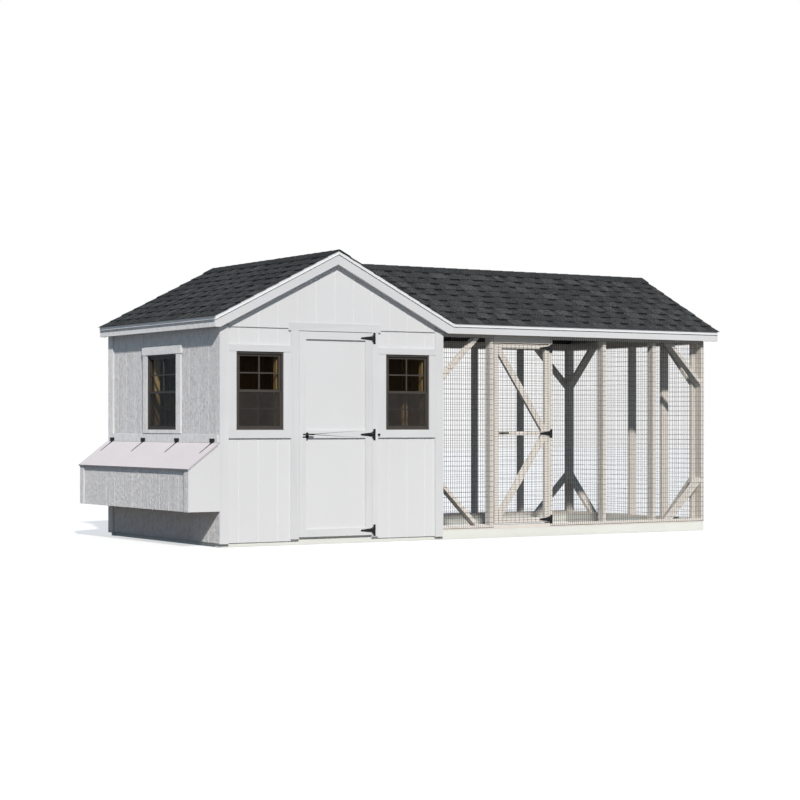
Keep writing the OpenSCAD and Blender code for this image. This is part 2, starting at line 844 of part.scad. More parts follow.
module screen_sheet(w) {
  x0 = frame_face + 14 + 2 * gap;
  box([x0, screen_y + 3.8, frame_face + 14 + 2 * gap], [w - x0, screen_y + 4.2, meeting_z - 14 - gap]);
}

// Puts a window unit in the front wall at x, or in the side wall
module front_window(x) {
  translate([x, 0, window_z]) children();
}

module side_window() {
  translate([0, side_window_y + side_window_w, window_z]) rotate([0, 0, -90]) children();
}

module fixed_window_bars(w) {
  frame_bars(w);
  sash_bars(w, upper_y, upper_z[0], upper_z[1]);
  screen_bars(w);
}

module window_frames() {
  color("#3a3129") place() {
    for (x = [window_x_a, window_x_b])
      front_window(x) fixed_window_bars(window_w);
    side_window() fixed_window_bars(side_window_w);
  }
}

module upper_glass() {
  color("#6080a0", 0.4) place() {
    for (x = [window_x_a, window_x_b])
      front_window(x) sash_panes(window_w, upper_y, upper_z[0], upper_z[1]);
    side_window() sash_panes(side_window_w, upper_y, upper_z[0], upper_z[1]);
  }
}

module screen_mesh() {
  color("#404040", 0.6) place() {
    for (x = [window_x_a, window_x_b])
      front_window(x) screen_sheet(window_w);
    side_window() screen_sheet(side_window_w);
  }
}

module sash_front_left() {
  color("#3a3129") place()
    front_window(window_x_a) sash_bars(window_w, lower_y, lower_z[0], lower_z[1]);
}

module sash_front_right() {
  color("#3a3129") place()
    front_window(window_x_b) sash_bars(window_w, lower_y, lower_z[0], lower_z[1]);
}

module sash_side() {
  color("#3a3129") place()
    side_window() sash_bars(side_window_w, lower_y, lower_z[0], lower_z[1]);
}

module glass_front_left() {
  color("#6080a0", 0.4) place()
    front_window(window_x_a) sash_panes(window_w, lower_y, lower_z[0], lower_z[1]);
}

module glass_front_right() {
  color("#6080a0", 0.4) place()
    front_window(window_x_b) sash_panes(window_w, lower_y, lower_z[0], lower_z[1]);
}

module glass_side() {
  color("#6080a0", 0.4) place()
    side_window() sash_panes(side_window_w, lower_y, lower_z[0], lower_z[1]);
}

// ---------------------------------------------------------------- door hinges

// The leaf's two faces, measured from the pin towards the wall
leaf_y = [4, 7];
knuckle_z = 12;
people_axis = [door_x + door_w + 1, -trim_t - leaf_y[1]];
people_hinge_z = [117, 1030, 1948];
run_axis = [run_door_x + run_door_w - 2, siding_t - outer_wire - wire_r - gap - leaf_y[1]];
run_hinge_z = [171, 1038, 1898];

// Fixed half of a T hinge round a z axis: plate, two knuckles and the pin
module hinge_fixed(plate_h) {
  cylinder(r = pin_r, h = 2 * 30, center = true, $fn = 48);
  for (s = [-1, 1]) {
    translate([0, 0, s * (knuckle_z + 30) / 2])
      cylinder(r = hinge_r, h = 30 - knuckle_z, center = true, $fn = 48);
    translate([4.5, 5.25, s * (knuckle_z + 30) / 2])
      cube([9, 2.5, 30 - knuckle_z], center = true);
  }
  box([8, leaf_y[0], -plate_h / 2], [33, leaf_y[1], plate_h / 2]);
}

// Moving half: one knuckle with a running bore, and a strap that tapers to its tip
module hinge_strap(reach) {
  root = 22;
  tip = 8;
  difference() {
    union() {
      cylinder(r = hinge_r, h = 2 * (knuckle_z - gap), center = true, $fn = 48);
      box([-10, leaf_y[0], -knuckle_z + gap], [-0.5, leaf_y[1] - 0.5, knuckle_z - gap]);
    }
    cylinder(r = pin_r + pin_clear, h = 60, center = true, $fn = 48);
  }
  along_y(leaf_y[0], leaf_y[1])
    polygon([[-9, -root], [-9, root], [-28, root * 0.8], [-reach, tip], [-reach - tip, 0],
             [-reach, -tip], [-28, -root * 0.8]]);
}

// The bumper beside the middle hinge that the open door rests against
bumper = [door_x + door_w + 66 + 4, 1030];

module fixed_hardware() {
  color("#181818") place() {
    for (z = people_hinge_z)
      translate([people_axis[0], people_axis[1], z]) hinge_fixed(108);
    for (z = run_hinge_z)
      translate([run_axis[0], run_axis[1], z]) hinge_fixed(86);
    translate([bumper[0], -trim_t - gap, bumper[1]]) rotate([90, 0, 0]) cylinder(r = 11, h = 14, $fn = 48);
  }
}

module people_door_straps() {
  color("#181818") place()
    for (z = people_hinge_z)
      translate([people_axis[0], people_axis[1], z]) hinge_strap(125);
}

module run_door_straps() {
  color("#181818") place()
    for (z = run_hinge_z)
      translate([run_axis[0], run_axis[1], z]) hinge_strap(116);
}

// ---------------------------------------------------------------- people door

leaf_gap = 3;
leaf_x0 = door_x + leaf_gap;
leaf_x1 = door_x + door_w - leaf_gap;
leaf_top = door_top - 5;
people_handle = [912, 1033];
back_x0 = jamb_x0 + 8;
back_x1 = jamb_x1 - 8;
back_z = [floor_top + 8, plate_z - 8];
mid_rail = [998, 1072];
shaft_r = 5;

// A round hole along y for a handle's shaft
module shaft_hole(p, y0, y1) {
  translate([p[0], y0, p[1]]) rotate([-90, 0, 0])
    cylinder(r = shaft_r + pin_clear, h = y1 - y0, $fn = 48);
}

module people_door_panel() {
  color("white") place() {
    difference() {
      box([leaf_x0, 0, door_z], [leaf_x1, siding_t, leaf_top]);
      shaft_hole(people_handle, -1, siding_t + 1);
    }
    // the frame behind the panel: two stiles and three rails
    for (x = [back_x0, back_x1 - stud_w])
      difference() {
        box([x, siding_t + gap, back_z[0]], [x + stud_w, siding_t + stud_t, back_z[1]]);
        shaft_hole(people_handle, 0, siding_t + stud_t + 1);
      }
    for (z = [back_z[0], mid_rail[0] - stud_w, back_z[1] - stud_w])
      box([back_x0 + stud_w + gap, siding_t + gap, z],
          [back_x1 - stud_w - gap, siding_t + stud_t, z + stud_w]);
  }
}

module people_door_trim() {
  stile = 72;
  color("white") place() {
    for (x = [leaf_x0, leaf_x1 - stile])
      box([x, -trim_t, door_z], [x + stile, -gap, leaf_top]);
    for (z = [[door_z, door_z + stile], [leaf_top - stile, leaf_top]])
      box([leaf_x0 + stile + gap, -trim_t, z[0]], [leaf_x1 - stile - gap, -gap, z[1]]);
    difference() {
      box([leaf_x0 + stile + gap, -trim_t, mid_rail[0]],
          [leaf_x1 - stile - gap, -gap, mid_rail[1]]);
      shaft_hole(people_handle, -trim_t - 1, 1);
    }
  }
}

// A T handle on a shaft along y, with a turn arm behind the studs that points up when free
module t_handle(outside, arm) {
  grip_r = 7;
  inside = frame_in + 8;
  rotate([-90, 0, 0]) translate([0, 0, -outside]) cylinder(r = shaft_r, h = outside + inside, $fn = 48);
  translate([0, -outside, 0]) rotate([0, 90, 0]) cylinder(r = grip_r, h = 108, center = true, $fn = 32);
  for (s = [-1, 1])
    translate([s * 54, -outside, 0]) sphere(r = grip_r, $fn = 32);
  box([-10, inside - 5, -14], [10, inside, arm]);
}

module people_door_handle() {
  color("#181818") place()
    translate([people_handle[0], 0, people_handle[1]]) t_handle(trim_t + 32, 100);
}

// ---------------------------------------------------------------- run door

run_leaf = [run_door_x + 5, run_door_x + run_door_w - 4];
run_stile = 54;
run_rail = 42;
run_mid = [1018, 1059];
// the handle's shaft passes between two wires each way
run_handle = [3156, 1042];
run_face = [siding_t, siding_t + stud_t];

module run_door_frame() {
  x0 = run_leaf[0] + run_stile + gap;
  x1 = run_leaf[1] - run_stile - gap;
  low_top = run_door_z + run_stile;
  color("ivory") place() {
    for (x = [run_leaf[0], run_leaf[1] - run_stile])
      box([x, run_face[0], run_door_z], [x + run_stile, run_face[1], run_door_top]);
    box([x0, run_face[0], run_door_z], [x1, run_face[1], low_top]);
    box([x0, run_face[0], run_door_top - run_rail], [x1, run_face[1], run_door_top]);
    difference() {
      box([x0, run_face[0], run_mid[0]], [x1, run_face[1], run_mid[1]]);
      shaft_hole(run_handle, 0, run_face[1] + 1);
    }
    leaf_brace(x0, x1, run_door_top - run_rail - gap, run_mid[1] + gap);
    leaf_brace(x0, x1, low_top + gap, run_mid[0] - gap);
  }
}

// A brace from a far corner on the latch side to the mid rail on the hinge side
module leaf_brace(x0, x1, z_far, z_mid) {
  w = 64;
  length = norm([x1 - x0, z_mid - z_far]);
  du = w / 2 * length / abs(z_mid - z_far);
  dz = w / 2 * length / (x1 - x0) * sign(z_mid - z_far);
  along_y(run_face[0], run_face[1])
    polygon([[x0, z_far], [x0 + du, z_far], [x1, z_mid - dz],
             [x1, z_mid], [x1 - du, z_mid], [x0, z_far + dz]]);
}

module run_door_mesh() {
  color("#202020") place()
    mesh_panel(run_leaf[0] + 3, run_leaf[1] - 3, run_door_z + 3, run_door_top - 3,
               mesh_long, mesh_short, true);
}

module run_door_handle() {
  color("#181818") place()
    translate([run_handle[0], 0, run_handle[1]]) t_handle(26, 130);
}

// ---------------------------------------------------------------- nest box

nest_x = -nest_out;
board_t = 12;
nest_floor_z = nest_z + 12;

// Height of the lid's top face at a distance u out from the wall
function lid_z(u) = lid_top_z - tan(lid_slope) * (u - lid_inner);
lid_v = lid_t / cos(lid_slope);

// Profile in (x, z) of the nest box below its lid
module nest_profile(x0, x1, low, slack) {
  polygon([[x0, low], [x1, low], [x1, lid_z(-x1) - lid_v - slack], [x0, lid_z(-x0) - lid_v - slack]]);
}

module nest_front() {
  top = lid_z(nest_out) - lid_v - 2;
  color("white") place() {
    translate([nest_x + board_t, 0, 0]) boards_left(-7 + gap, house_d + 7 - gap, nest_z, top);
    for (y = [-trim_t, house_d + trim_t - corner_w])
      box([nest_x, y, nest_z], [nest_x + board_t - gap, y + corner_w, top]);
  }
}

module nest_sides() {
  color("white") place()
    both_y() along_y(-trim_t, -trim_t + board_t)
      nest_profile(nest_x + board_t, -gap, nest_z, 1);
}

module nest_cell_boards() {
  x0 = nest_x + board_t + siding_t + gap;
  color("tan") place() {
    box([x0, -7 + gap, nest_floor_z], [-gap, house_d + 7 - gap, nest_floor_z + board_t]);
    for (i = [1 : nest_cells - 1])
      along_y(i * cell_pitch - board_t / 2, i * cell_pitch + board_t / 2)
        nest_profile(x0, -gap, nest_floor_z + board_t + gap, 3);
  }
}

lid_hinge_r = 5.5;
lid_pin_r = 2.5;
lid_axis = [-lid_inner - 5, lid_z(lid_inner + 5) + (lid_hinge_r + gap) / cos(lid_slope)];
lid_hinge_y = [102, 844, 1601, 2335];

module nest_lid() {
  color("#e9e2e4") place()
    along_y(-lid_side, house_d + lid_side)
      polygon([[-lid_inner, lid_z(lid_inner)], [-lid_outer, lid_z(lid_outer)],
               [-lid_outer + lid_t * sin(lid_slope), lid_z(lid_outer) - lid_t * cos(lid_slope)],
               [-lid_inner, lid_z(lid_inner) - lid_v]]);
}

// Puts a hinge on the lid's axis at y
module lid_hinge(y) {
  translate([lid_axis[0], y, lid_axis[1]]) children();
}

module nest_hinge_plates() {
  wall_x = -trim_t - lid_axis[0];
  color("#181818") place()
    for (y = lid_hinge_y)
      lid_hinge(y) {
        rotate([90, 0, 0]) {
          cylinder(r = lid_pin_r, h = 40, center = true, $fn = 48);
          for (s = [-1, 1])
            translate([0, 0, s * 14]) cylinder(r = lid_hinge_r, h = 12, center = true, $fn = 48);
        }
        for (s = [-1, 1])
          box([wall_x - 3, s * 14 - 6, 0], [wall_x - 1, s * 14 + 6, 12]);
        box([wall_x - 3, -50, 4], [wall_x, 50, 36]);
      }
}

module nest_lid_straps() {
  reach = 150;
  color("#181818") place()
    for (y = lid_hinge_y)
      lid_hinge(y) rotate([0, -lid_slope, 0]) {
        difference() {
          union() {
            rotate([90, 0, 0]) cylinder(r = lid_hinge_r, h = 15.6, center = true, $fn = 48);
            box([-12, -7.8, -lid_hinge_r], [-1, 7.8, -lid_hinge_r + 2.5]);
          }
          rotate([90, 0, 0]) cylinder(r = lid_pin_r + pin_clear, h = 20, center = true, $fn = 48);
        }
        translate([0, 0, -lid_hinge_r]) linear_extrude(height = 2.5)
          polygon([[-9, -14], [-9, 14], [-30, 9], [-reach, 5], [-reach - 7, 0], [-reach, -5], [-30, -9]]);
      }
}

// ---------------------------------------------------------------- inside the house

module roosts() {
  bars = [[1680, 620], [1900, 800], [2120, 980]];
  overhang = 20;
  color("burlywood") place()
    for (b = bars) {
      box([b[0], frame_in, b[1]], [b[0] + stud_w, house_d - frame_in, b[1] + stud_t]);
      // the cleats on the walls that the bar lies on
      both_y() box([b[0] - overhang, frame_in, b[1] - 80],
                   [b[0] + stud_w + overhang, frame_in + 28, b[1] - gap]);
    }
}

track_t = 19;

module pop_door_tracks() {
  outer = pop_w / 2 + 50;
  color("white") place()
    for (s = [-1, 1]) {
      y0 = mid_y + s * (pop_w / 2 + 14);
      y1 = mid_y + s * outer;
      y_lip = mid_y + s * pop_w / 2;
      box([house_w + gap, min(y0, y1), pop_z - 20], [house_w + track_t, max(y0, y1), pop_z + 2 * pop_h]);
      box([house_w + track_t + gap, min(y_lip, y1), pop_z - 20],
          [house_w + track_t + siding_t, max(y_lip, y1), pop_z + 2 * pop_h]);
    }
}

module pop_door() {
  slack = 3;
  half = pop_w / 2 + 14 - slack;
  color("white") place() {
    box([house_w + slack, mid_y - half, pop_z - 12],
        [house_w + track_t - slack, mid_y + half, pop_z + pop_h - 6]);
    // a pull block on the face
    box([house_w + track_t - slack + gap, mid_y - 40, pop_z + pop_h - 60],
        [house_w + track_t + 18, mid_y + 40, pop_z + pop_h - 36]);
  }
}

skids();
floor_joists();
floor_deck();
wall_studs();
wall_plates();
front_siding();
left_siding();
back_siding();
partition_siding();
gable_backing();
gable_siding();
corner_boards();
door_casing();
window_casings();
nest_band_board();
house_rafters();
run_rafters();
ridge_boards();
roof_blocking();
roof_deck();
rake_soffits();
house_shingles();
run_shingles();
ridge_caps();
drip_edge();
rake_boards();
fascia_boards();
run_posts();
run_plates();
run_braces();
run_mesh_front();
run_mesh_sides();
window_frames();
upper_glass();
screen_mesh();
fixed_hardware();
nest_hinge_plates();
nest_front();
nest_sides();
nest_cell_boards();
roosts();
pop_door_tracks();
people_door_panel();
people_door_trim();
people_door_straps();
people_door_handle();
run_door_frame();
run_door_mesh();
run_door_straps();
run_door_handle();
nest_lid();
nest_lid_straps();
sash_front_left();
sash_front_right();
sash_side();
glass_front_left();
glass_front_right();
glass_side();
pop_door();
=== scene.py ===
"""Looks for a walk-in chicken coop: painted boards, lapped shingles, hardware details and light.

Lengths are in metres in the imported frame: +X runs from the nest box to the run, +Y from the
doors to the back, +Z up, with the ground at z = 0.
"""
import json
import math
import random

import bmesh
import bpy
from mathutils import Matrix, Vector


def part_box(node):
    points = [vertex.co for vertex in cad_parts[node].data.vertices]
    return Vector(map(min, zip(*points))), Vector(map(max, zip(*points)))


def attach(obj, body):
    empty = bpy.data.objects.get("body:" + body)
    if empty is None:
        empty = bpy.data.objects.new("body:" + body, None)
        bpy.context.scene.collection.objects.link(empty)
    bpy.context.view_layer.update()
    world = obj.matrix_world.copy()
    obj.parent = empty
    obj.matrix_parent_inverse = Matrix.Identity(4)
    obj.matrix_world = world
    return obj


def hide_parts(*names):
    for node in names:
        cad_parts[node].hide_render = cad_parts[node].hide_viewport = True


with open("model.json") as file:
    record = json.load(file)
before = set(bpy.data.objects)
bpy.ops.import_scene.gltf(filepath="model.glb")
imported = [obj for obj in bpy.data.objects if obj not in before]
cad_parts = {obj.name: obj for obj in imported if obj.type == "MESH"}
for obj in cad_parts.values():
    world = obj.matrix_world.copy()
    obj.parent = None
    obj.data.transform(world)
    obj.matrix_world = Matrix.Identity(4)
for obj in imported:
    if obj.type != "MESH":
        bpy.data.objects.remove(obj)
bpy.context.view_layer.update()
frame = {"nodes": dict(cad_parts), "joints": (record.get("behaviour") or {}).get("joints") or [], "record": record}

# The roof rises 1 in 2
PITCH = 0.5
SLOPE = math.atan(PITCH)
# Shingles: what shows of each course, how far it runs under the next, and one strip's length
EXPOSURE = 0.146
LAP = 0.012
STRIP = 1.0
# Thickness of one layer of shingle, and how much lower it lies for each metre towards its head
PLY = 0.0026
FALL = 2 * PLY / EXPOSURE
# Height of the dark band printed in the gaps between a course's teeth
BAND = 0.03
# Width of framing lumber
LUMBER = 0.089
# How the left wall's speckle is drawn out; its dark colour is partly the paint's own marks, partly painted shade
# of the rough grain under the grazing sun
SPECKLE_STRETCH = (1, 1, 0.45)
# The house's mitre with the run is cut this much short, so that the two roofs don't touch
MITRE = 0.002


# ---------------------------------------------------------------- material nodes

class Nodes:
    """Builds one material's node tree."""

    def __init__(self, name):
        self.material = bpy.data.materials.new(name)
        self.material.use_nodes = True
        self.tree = self.material.node_tree
        self.tree.nodes.clear()
        self.place = self.add("ShaderNodeTexCoord").outputs["Object"]
        self.island = self.add("ShaderNodeNewGeometry").outputs["Random Per Island"]

    def add(self, kind, settings=None, inputs=None):
        node = self.tree.nodes.new(kind)
        for key, value in (settings or {}).items():
            setattr(node, key, value)
        for key, value in (inputs or {}).items():
            if isinstance(value, bpy.types.NodeSocket):
                self.tree.links.new(value, node.inputs[key])
            else:
                node.inputs[key].default_value = value
        return node

    def math(self, operation, a, b=0.0, clamp=False):
        settings = {"operation": operation, "use_clamp": clamp}
        return self.add("ShaderNodeMath", settings, {0: a, 1: b}).outputs[0]

    def vector(self, operation, a, b):
        return self.add("ShaderNodeVectorMath", {"operation": operation}, {0: a, 1: b}).outputs[0]

    def noise(self, scale, stretch=(1, 1, 1), detail=3.0, rough=0.55, shift=None):
        """Noise with this many features to the metre, drawn out where stretch is below 1."""
        where = self.place
        if shift is not None:
            where = self.vector("ADD", where, shift)
        where = self.vector("MULTIPLY", where, stretch)
        inputs = {"Vector": where, "Scale": scale, "Detail": detail, "Roughness": rough}
        return self.add("ShaderNodeTexNoise", None, inputs).outputs["Fac"]

    def spread(self, value, low, high, to_low=0.0, to_high=1.0):
        """Stretches the range low to high over to_low to to_high, and clamps it."""
        inputs = {"Value": value, "From Min": low, "From Max": high,
                  "To Min": to_low, "To Max": to_high}
        return self.add("ShaderNodeMapRange", {"clamp": True}, inputs).outputs[0]

    def mix(self, factor, a, b, blend="MIX"):
        inputs = {"Factor": factor, "A": colour(a), "B": colour(b)}
        node = self.add("ShaderNodeMix", {"data_type": "RGBA", "blend_type": blend})
        for key, value in inputs.items():
            socket = next(s for s in node.inputs
                          if s.name == key and s.type == ("VALUE" if key == "Factor" else "RGBA"))
            if isinstance(value, bpy.types.NodeSocket):
                self.tree.links.new(value, socket)
            else:
                socket.default_value = value
        return next(s for s in node.outputs if s.type == "RGBA")

    def sideways(self):
        """1 on faces that look along x, 0 on faces that look along y or z."""
        facing = self.add("ShaderNodeNewGeometry").outputs["True Normal"]
        parts = self.add("ShaderNodeSeparateXYZ", None, {0: facing}).outputs
        return self.spread(self.math("ABSOLUTE", parts[0]), 0.4, 0.8)

    def left_part(self):
        """1 on the nest box and the house's left wall, almost 0 to the right of them."""
        x = self.add("ShaderNodeSeparateXYZ", None, {0: self.place}).outputs[0]
        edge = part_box("left_siding")[1].x
        return self.spread(x, edge + 0.002, edge + 0.004, 1.0, 0.06)

    def bump(self, height, depth, below=None):
        """A bump map that is depth metres high."""
        inputs = {"Height": height, "Distance": depth, "Strength": 1.0}
        if below is not None:
            inputs["Normal"] = below
        return self.add("ShaderNodeBump", None, inputs).outputs[0]

    def surface(self, base, roughness=0.6, normal=None, metallic=0.0, specular=0.4, chalk=0.0):
        """Ends the tree with one principled surface; chalk is how powdery its diffuse part is."""
        inputs = {"Base Color": colour(base), "Roughness": roughness, "Diffuse Roughness": chalk,
                  "Metallic": metallic, "Specular IOR Level": specular}
        if normal is not None:
            inputs["Normal"] = normal
        self.finish(self.add("ShaderNodeBsdfPrincipled", None, inputs).outputs[0])
        return self.material

    def finish(self, shader):
        self.add("ShaderNodeOutputMaterial", None, {"Surface": shader})


def colour(value):
    """Gives a plain triple its alpha, and leaves a socket as it is."""
    if isinstance(value, (tuple, list)) and len(value) == 3:
        return (*value, 1.0)
    return value


# Share of a paint's brightness that is left on faces to the front and the back: painted shade that dims them
# against the left wall
PAINTED_FACING_SHADE = 0.93
GRAIN = {"x": (0.05, 1, 1), "y": (1, 0.05, 1), "z": (1, 1, 0.05)}


def inside_room(n):
    """1 on the faces that look into the house, 0 elsewhere."""
    low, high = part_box("wall_studs")
    margin = 0.0003
    parts = n.add("ShaderNodeSeparateXYZ", None, {0: n.place}).outputs
    mask = None
    for part, a, b in ((parts[0], low.x, high.x), (parts[1], low.y, high.y)):
        for value in (n.math("GREATER_THAN", part, a - margin), n.math("LESS_THAN", part, b + margin)):
            mask = value if mask is None else n.math("MULTIPLY", mask, value)
    return mask


def bare_wood_colour(n, axis, light, dark):
    """Fibres, growth rings and a tone of its own for each board."""
    stretch = GRAIN[axis]
    island = n.add("ShaderNodeCombineXYZ", None, {i: n.island for i in range(3)}).outputs[0]
    shift = n.vector("MULTIPLY", island, (7.0, 5.0, 3.0))
    fibres = n.noise(230, stretch, 4, 0.6, shift)
    rings = n.noise(26, stretch, 2, 0.5, shift)
    bands = n.math("FRACT", n.math("MULTIPLY", rings, 7.0))
    base = n.mix(n.spread(bands, 0.0, 1.0, 0.15, 0.75), light, dark)
    base = n.mix(n.spread(fibres, 0.35, 0.7, 0.0, 0.5), base, dark)
    tone = n.spread(n.island, 0.0, 1.0, 0.82, 1.1)
    grey = n.add("ShaderNodeCombineColor", None, {i: tone for i in range(3)}).outputs[0]
    return n.mix(1.0, base, grey, "MULTIPLY"), fibres


def bare_wood(name, axis, light, dark, roughness=0.75):
    n = Nodes(name)
    base, fibres = bare_wood_colour(n, axis, light, dark)
    return n.surface(base, roughness, n.bump(fibres, 0.0008), specular=0.25)


def siding_paint(name, tint):
    """Rough-sawn boards under paint: strong flecks on the left wall and nest box, faint elsewhere; the flecks'
    dark colour is partly painted shade of the grain under the grazing sun, and faces to the front and the back get
    painted shade.
    """
    n = Nodes(name)
    flecks = n.noise(50, SPECKLE_STRETCH, 3, 0.75)
    coarse = n.noise(17, (1, 1, 0.04), 2, 0.5)
    fibres = n.noise(330, (1, 1, 0.06), 3, 0.6)
    patches = n.noise(1.6, (1, 1, 0.6), 3, 0.5)
    sideways = n.sideways()
    rough = n.math("MULTIPLY", n.spread(sideways, 0.0, 1.0, 0.06, 1.0), n.left_part())
    # Faces to the front and the back get painted shade
    base = n.mix(sideways, tuple(c * PAINTED_FACING_SHADE for c in tint), tint)
    base = n.mix(n.spread(patches, 0.35, 0.7, 0.0, 0.3), base, (0.74, 0.735, 0.73))
    # Dark flecks, strongest on the faces the sun grazes on the left: partly the paint's own marks, partly painted
    # shade of the rough grain
    speckle_and_painted_shade = n.math("MULTIPLY", n.spread(flecks, 0.48, 0.57, 0.0, 0.8), rough)
    base = n.mix(speckle_and_painted_shade, base, (0.69, 0.645, 0.63))
    tan, _ = bare_wood_colour(n, "z", (0.62, 0.42, 0.2), (0.42, 0.26, 0.11))
    base = n.mix(inside_room(n), base, tan)
    normal = n.bump(n.math("MULTIPLY", n.spread(coarse, 0.3, 0.7), rough), 0.004)
    normal = n.bump(n.math("MULTIPLY", n.spread(flecks, 0.35, 0.65), rough), 0.0045, normal)
    normal = n.bump(fibres, 0.0005, normal)
    return n.surface(base, 0.7, normal, specular=0.25, chalk=1.0)


def board_paint(name, tint, axis, fleck=0.0006, roughness=0.5, show_wood=0.0):
    """Smooth painted lumber, with faint grain along the board and speckle on the left wall; the speckle's dark
    colour is partly painted shade of the grain, and faces to the front and the back get painted shade.
    """
    n = Nodes(name)
    fibres = n.noise(210, GRAIN[axis], 4, 0.6)
    patches = n.noise(2.3, (1, 1, 1), 3, 0.5)
    # Faces to the front and the back get painted shade
    base = n.mix(n.sideways(), tuple(c * PAINTED_FACING_SHADE for c in tint), tint)
    base = n.mix(n.spread(patches, 0.35, 0.7, 0.0, 0.1), base, tuple(c * 0.6 for c in tint))
    # Dark flecks, strongest on the faces the sun grazes on the left: partly the paint's own marks, partly painted
    # shade of the rough grain
    flecks = n.spread(n.noise(50, SPECKLE_STRETCH, 3, 0.75), 0.47, 0.6, 0.0, 0.6)
    flecks = n.math("MULTIPLY", n.math("MULTIPLY", flecks, n.sideways()), n.left_part())
    base = n.mix(flecks, base, (0.66, 0.625, 0.61))
    if show_wood:
        wood, _ = bare_wood_colour(n, axis, (0.66, 0.55, 0.43), (0.45, 0.36, 0.27))
        base = n.mix(n.spread(fibres, 0.4, 0.72, 0.0, show_wood), base, wood)
    tone = n.spread(n.island, 0.0, 1.0, 0.94, 1.0)
    grey = n.add("ShaderNodeCombineColor", None, {i: tone for i in range(3)}).outputs[0]
    base = n.mix(1.0, base, grey, "MULTIPLY")
    normal = n.bump(fibres, 0.0005)
    normal = n.bump(flecks, fleck, normal)
    return n.surface(base, roughness, normal, specular=0.3, chalk=1.0)


def shingle(name):
    """Mineral granules on asphalt, with each tab's own tone and printed shadow bands."""
    n = Nodes(name)
    tone = n.add("ShaderNodeAttribute", {"attribute_name": "tone"}).outputs["Fac"]
    granules = n.noise(190, (1, 1, 1), 3, 0.8)
    clumps = n.noise(75, (1, 1, 1), 3, 0.7)
    weather = n.noise(1.3, (1, 1, 1), 3, 0.5)
    base = n.mix(tone, (0.0035, 0.0035, 0.004), (0.083, 0.082, 0.081))
    lit = n.math("MULTIPLY", n.spread(granules, 0.5, 0.66, 0.0, 0.75), tone)
    base = n.mix(lit, base, (0.17, 0.168, 0.165))
    base = n.mix(n.spread(granules, 0.5, 0.36, 0.0, 0.8), base, (0.005, 0.005, 0.006))
    pale = n.math("MULTIPLY", n.spread(clumps, 0.5, 0.62, 0.0, 1.0), tone)
    base = n.mix(pale, base, (0.16, 0.158, 0.154))
    base = n.mix(n.spread(clumps, 0.48, 0.36, 0.0, 0.8), base, (0.008, 0.008, 0.009))
    base = n.mix(n.spread(weather, 0.4, 0.7, 0.0, 0.2), base, (0.045, 0.045, 0.046))
    normal = n.bump(granules, 0.003)
    normal = n.bump(clumps, 0.005, normal)
    return n.surface(base, 0.92, normal, specular=0.15)


def coated_metal(name, tint, roughness, dust=(0.3, 0.3, 0.3), orange_peel=0.00015, specular=0.5):
    """Powder coat or vinyl: an even colour with fine texture and a little dust."""
    n = Nodes(name)
    peel = n.noise(600, (1, 1, 1), 2, 0.5)
    film = n.noise(9, (1, 1, 1), 4, 0.6)
    base = n.mix(n.spread(film, 0.45, 0.8, 0.0, 0.12), tint, dust)
    rough = n.spread(film, 0.3, 0.7, roughness - 0.07, roughness + 0.12)
    return n.surface(base, rough, n.bump(peel, orange_peel), specular=specular)


def window_glass(name):
    """Clear panes: mostly see-through, with a faint tint and a mirror that grows at grazing angles."""
    n = Nodes(name)
    waves = n.noise(3.5, (1, 1, 1), 1, 0.4)
    normal = n.bump(waves, 0.0015)
    fresnel = n.add("ShaderNodeFresnel", None, {"IOR": 1.45, "Normal": normal}).outputs[0]
    smear = n.spread(n.noise(14, (1, 1, 0.4), 3, 0.6), 0.4, 0.8, 0.02, 0.07)
    clear = n.add("ShaderNodeBsdfTransparent", None, {"Color": colour((0.86, 0.86, 0.82))}).outputs[0]
    mirror = n.add("ShaderNodeBsdfGlossy", None,
                   {"Color": colour((0.9, 0.93, 0.95)), "Roughness": smear, "Normal": normal}).outputs[0]
    share = n.math("MULTIPLY", fresnel, 0.1, True)
    n.finish(n.add("ShaderNodeMixShader", None, {0: share, 1: clear, 2: mirror}).outputs[0])
    return n.material


def insect_screen(name):
    """A fine dark weave with see-through cells."""
    n = Nodes(name)
    pitch = 0.0016
    parts = n.add("ShaderNodeSeparateXYZ", None, {0: n.place}).outputs
    level = n.math("ADD", parts[0], parts[1])
    open_cell = None
    for part in (level, parts[2]):
        cell = n.math("FRACT", n.math("DIVIDE", part, pitch))
        hole = n.math("GREATER_THAN", cell, 0.2)
        open_cell = hole if open_cell is None else n.math("MULTIPLY", open_cell, hole)
    clear = n.add("ShaderNodeBsdfTransparent").outputs[0]
    tone = n.mix(n.noise(8, (1, 1, 1), 3, 0.5), (0.03, 0.028, 0.026), (0.075, 0.065, 0.055))
    thread = n.add("ShaderNodeBsdfPrincipled", None,
                   {"Base Color": tone, "Roughness": 0.55}).outputs[0]
    n.finish(n.add("ShaderNodeMixShader", None, {0: open_cell, 1: thread, 2: clear}).outputs[0])
    return n.material


# ---------------------------------------------------------------- materials by slot

WHITE = (0.85, 0.85, 0.85)
TRIM = (0.86, 0.86, 0.86)
CREAM = (0.96, 0.915, 0.85)
LIGHT_PINE = (0.66, 0.47, 0.25)
DARK_PINE = (0.46, 0.29, 0.13)
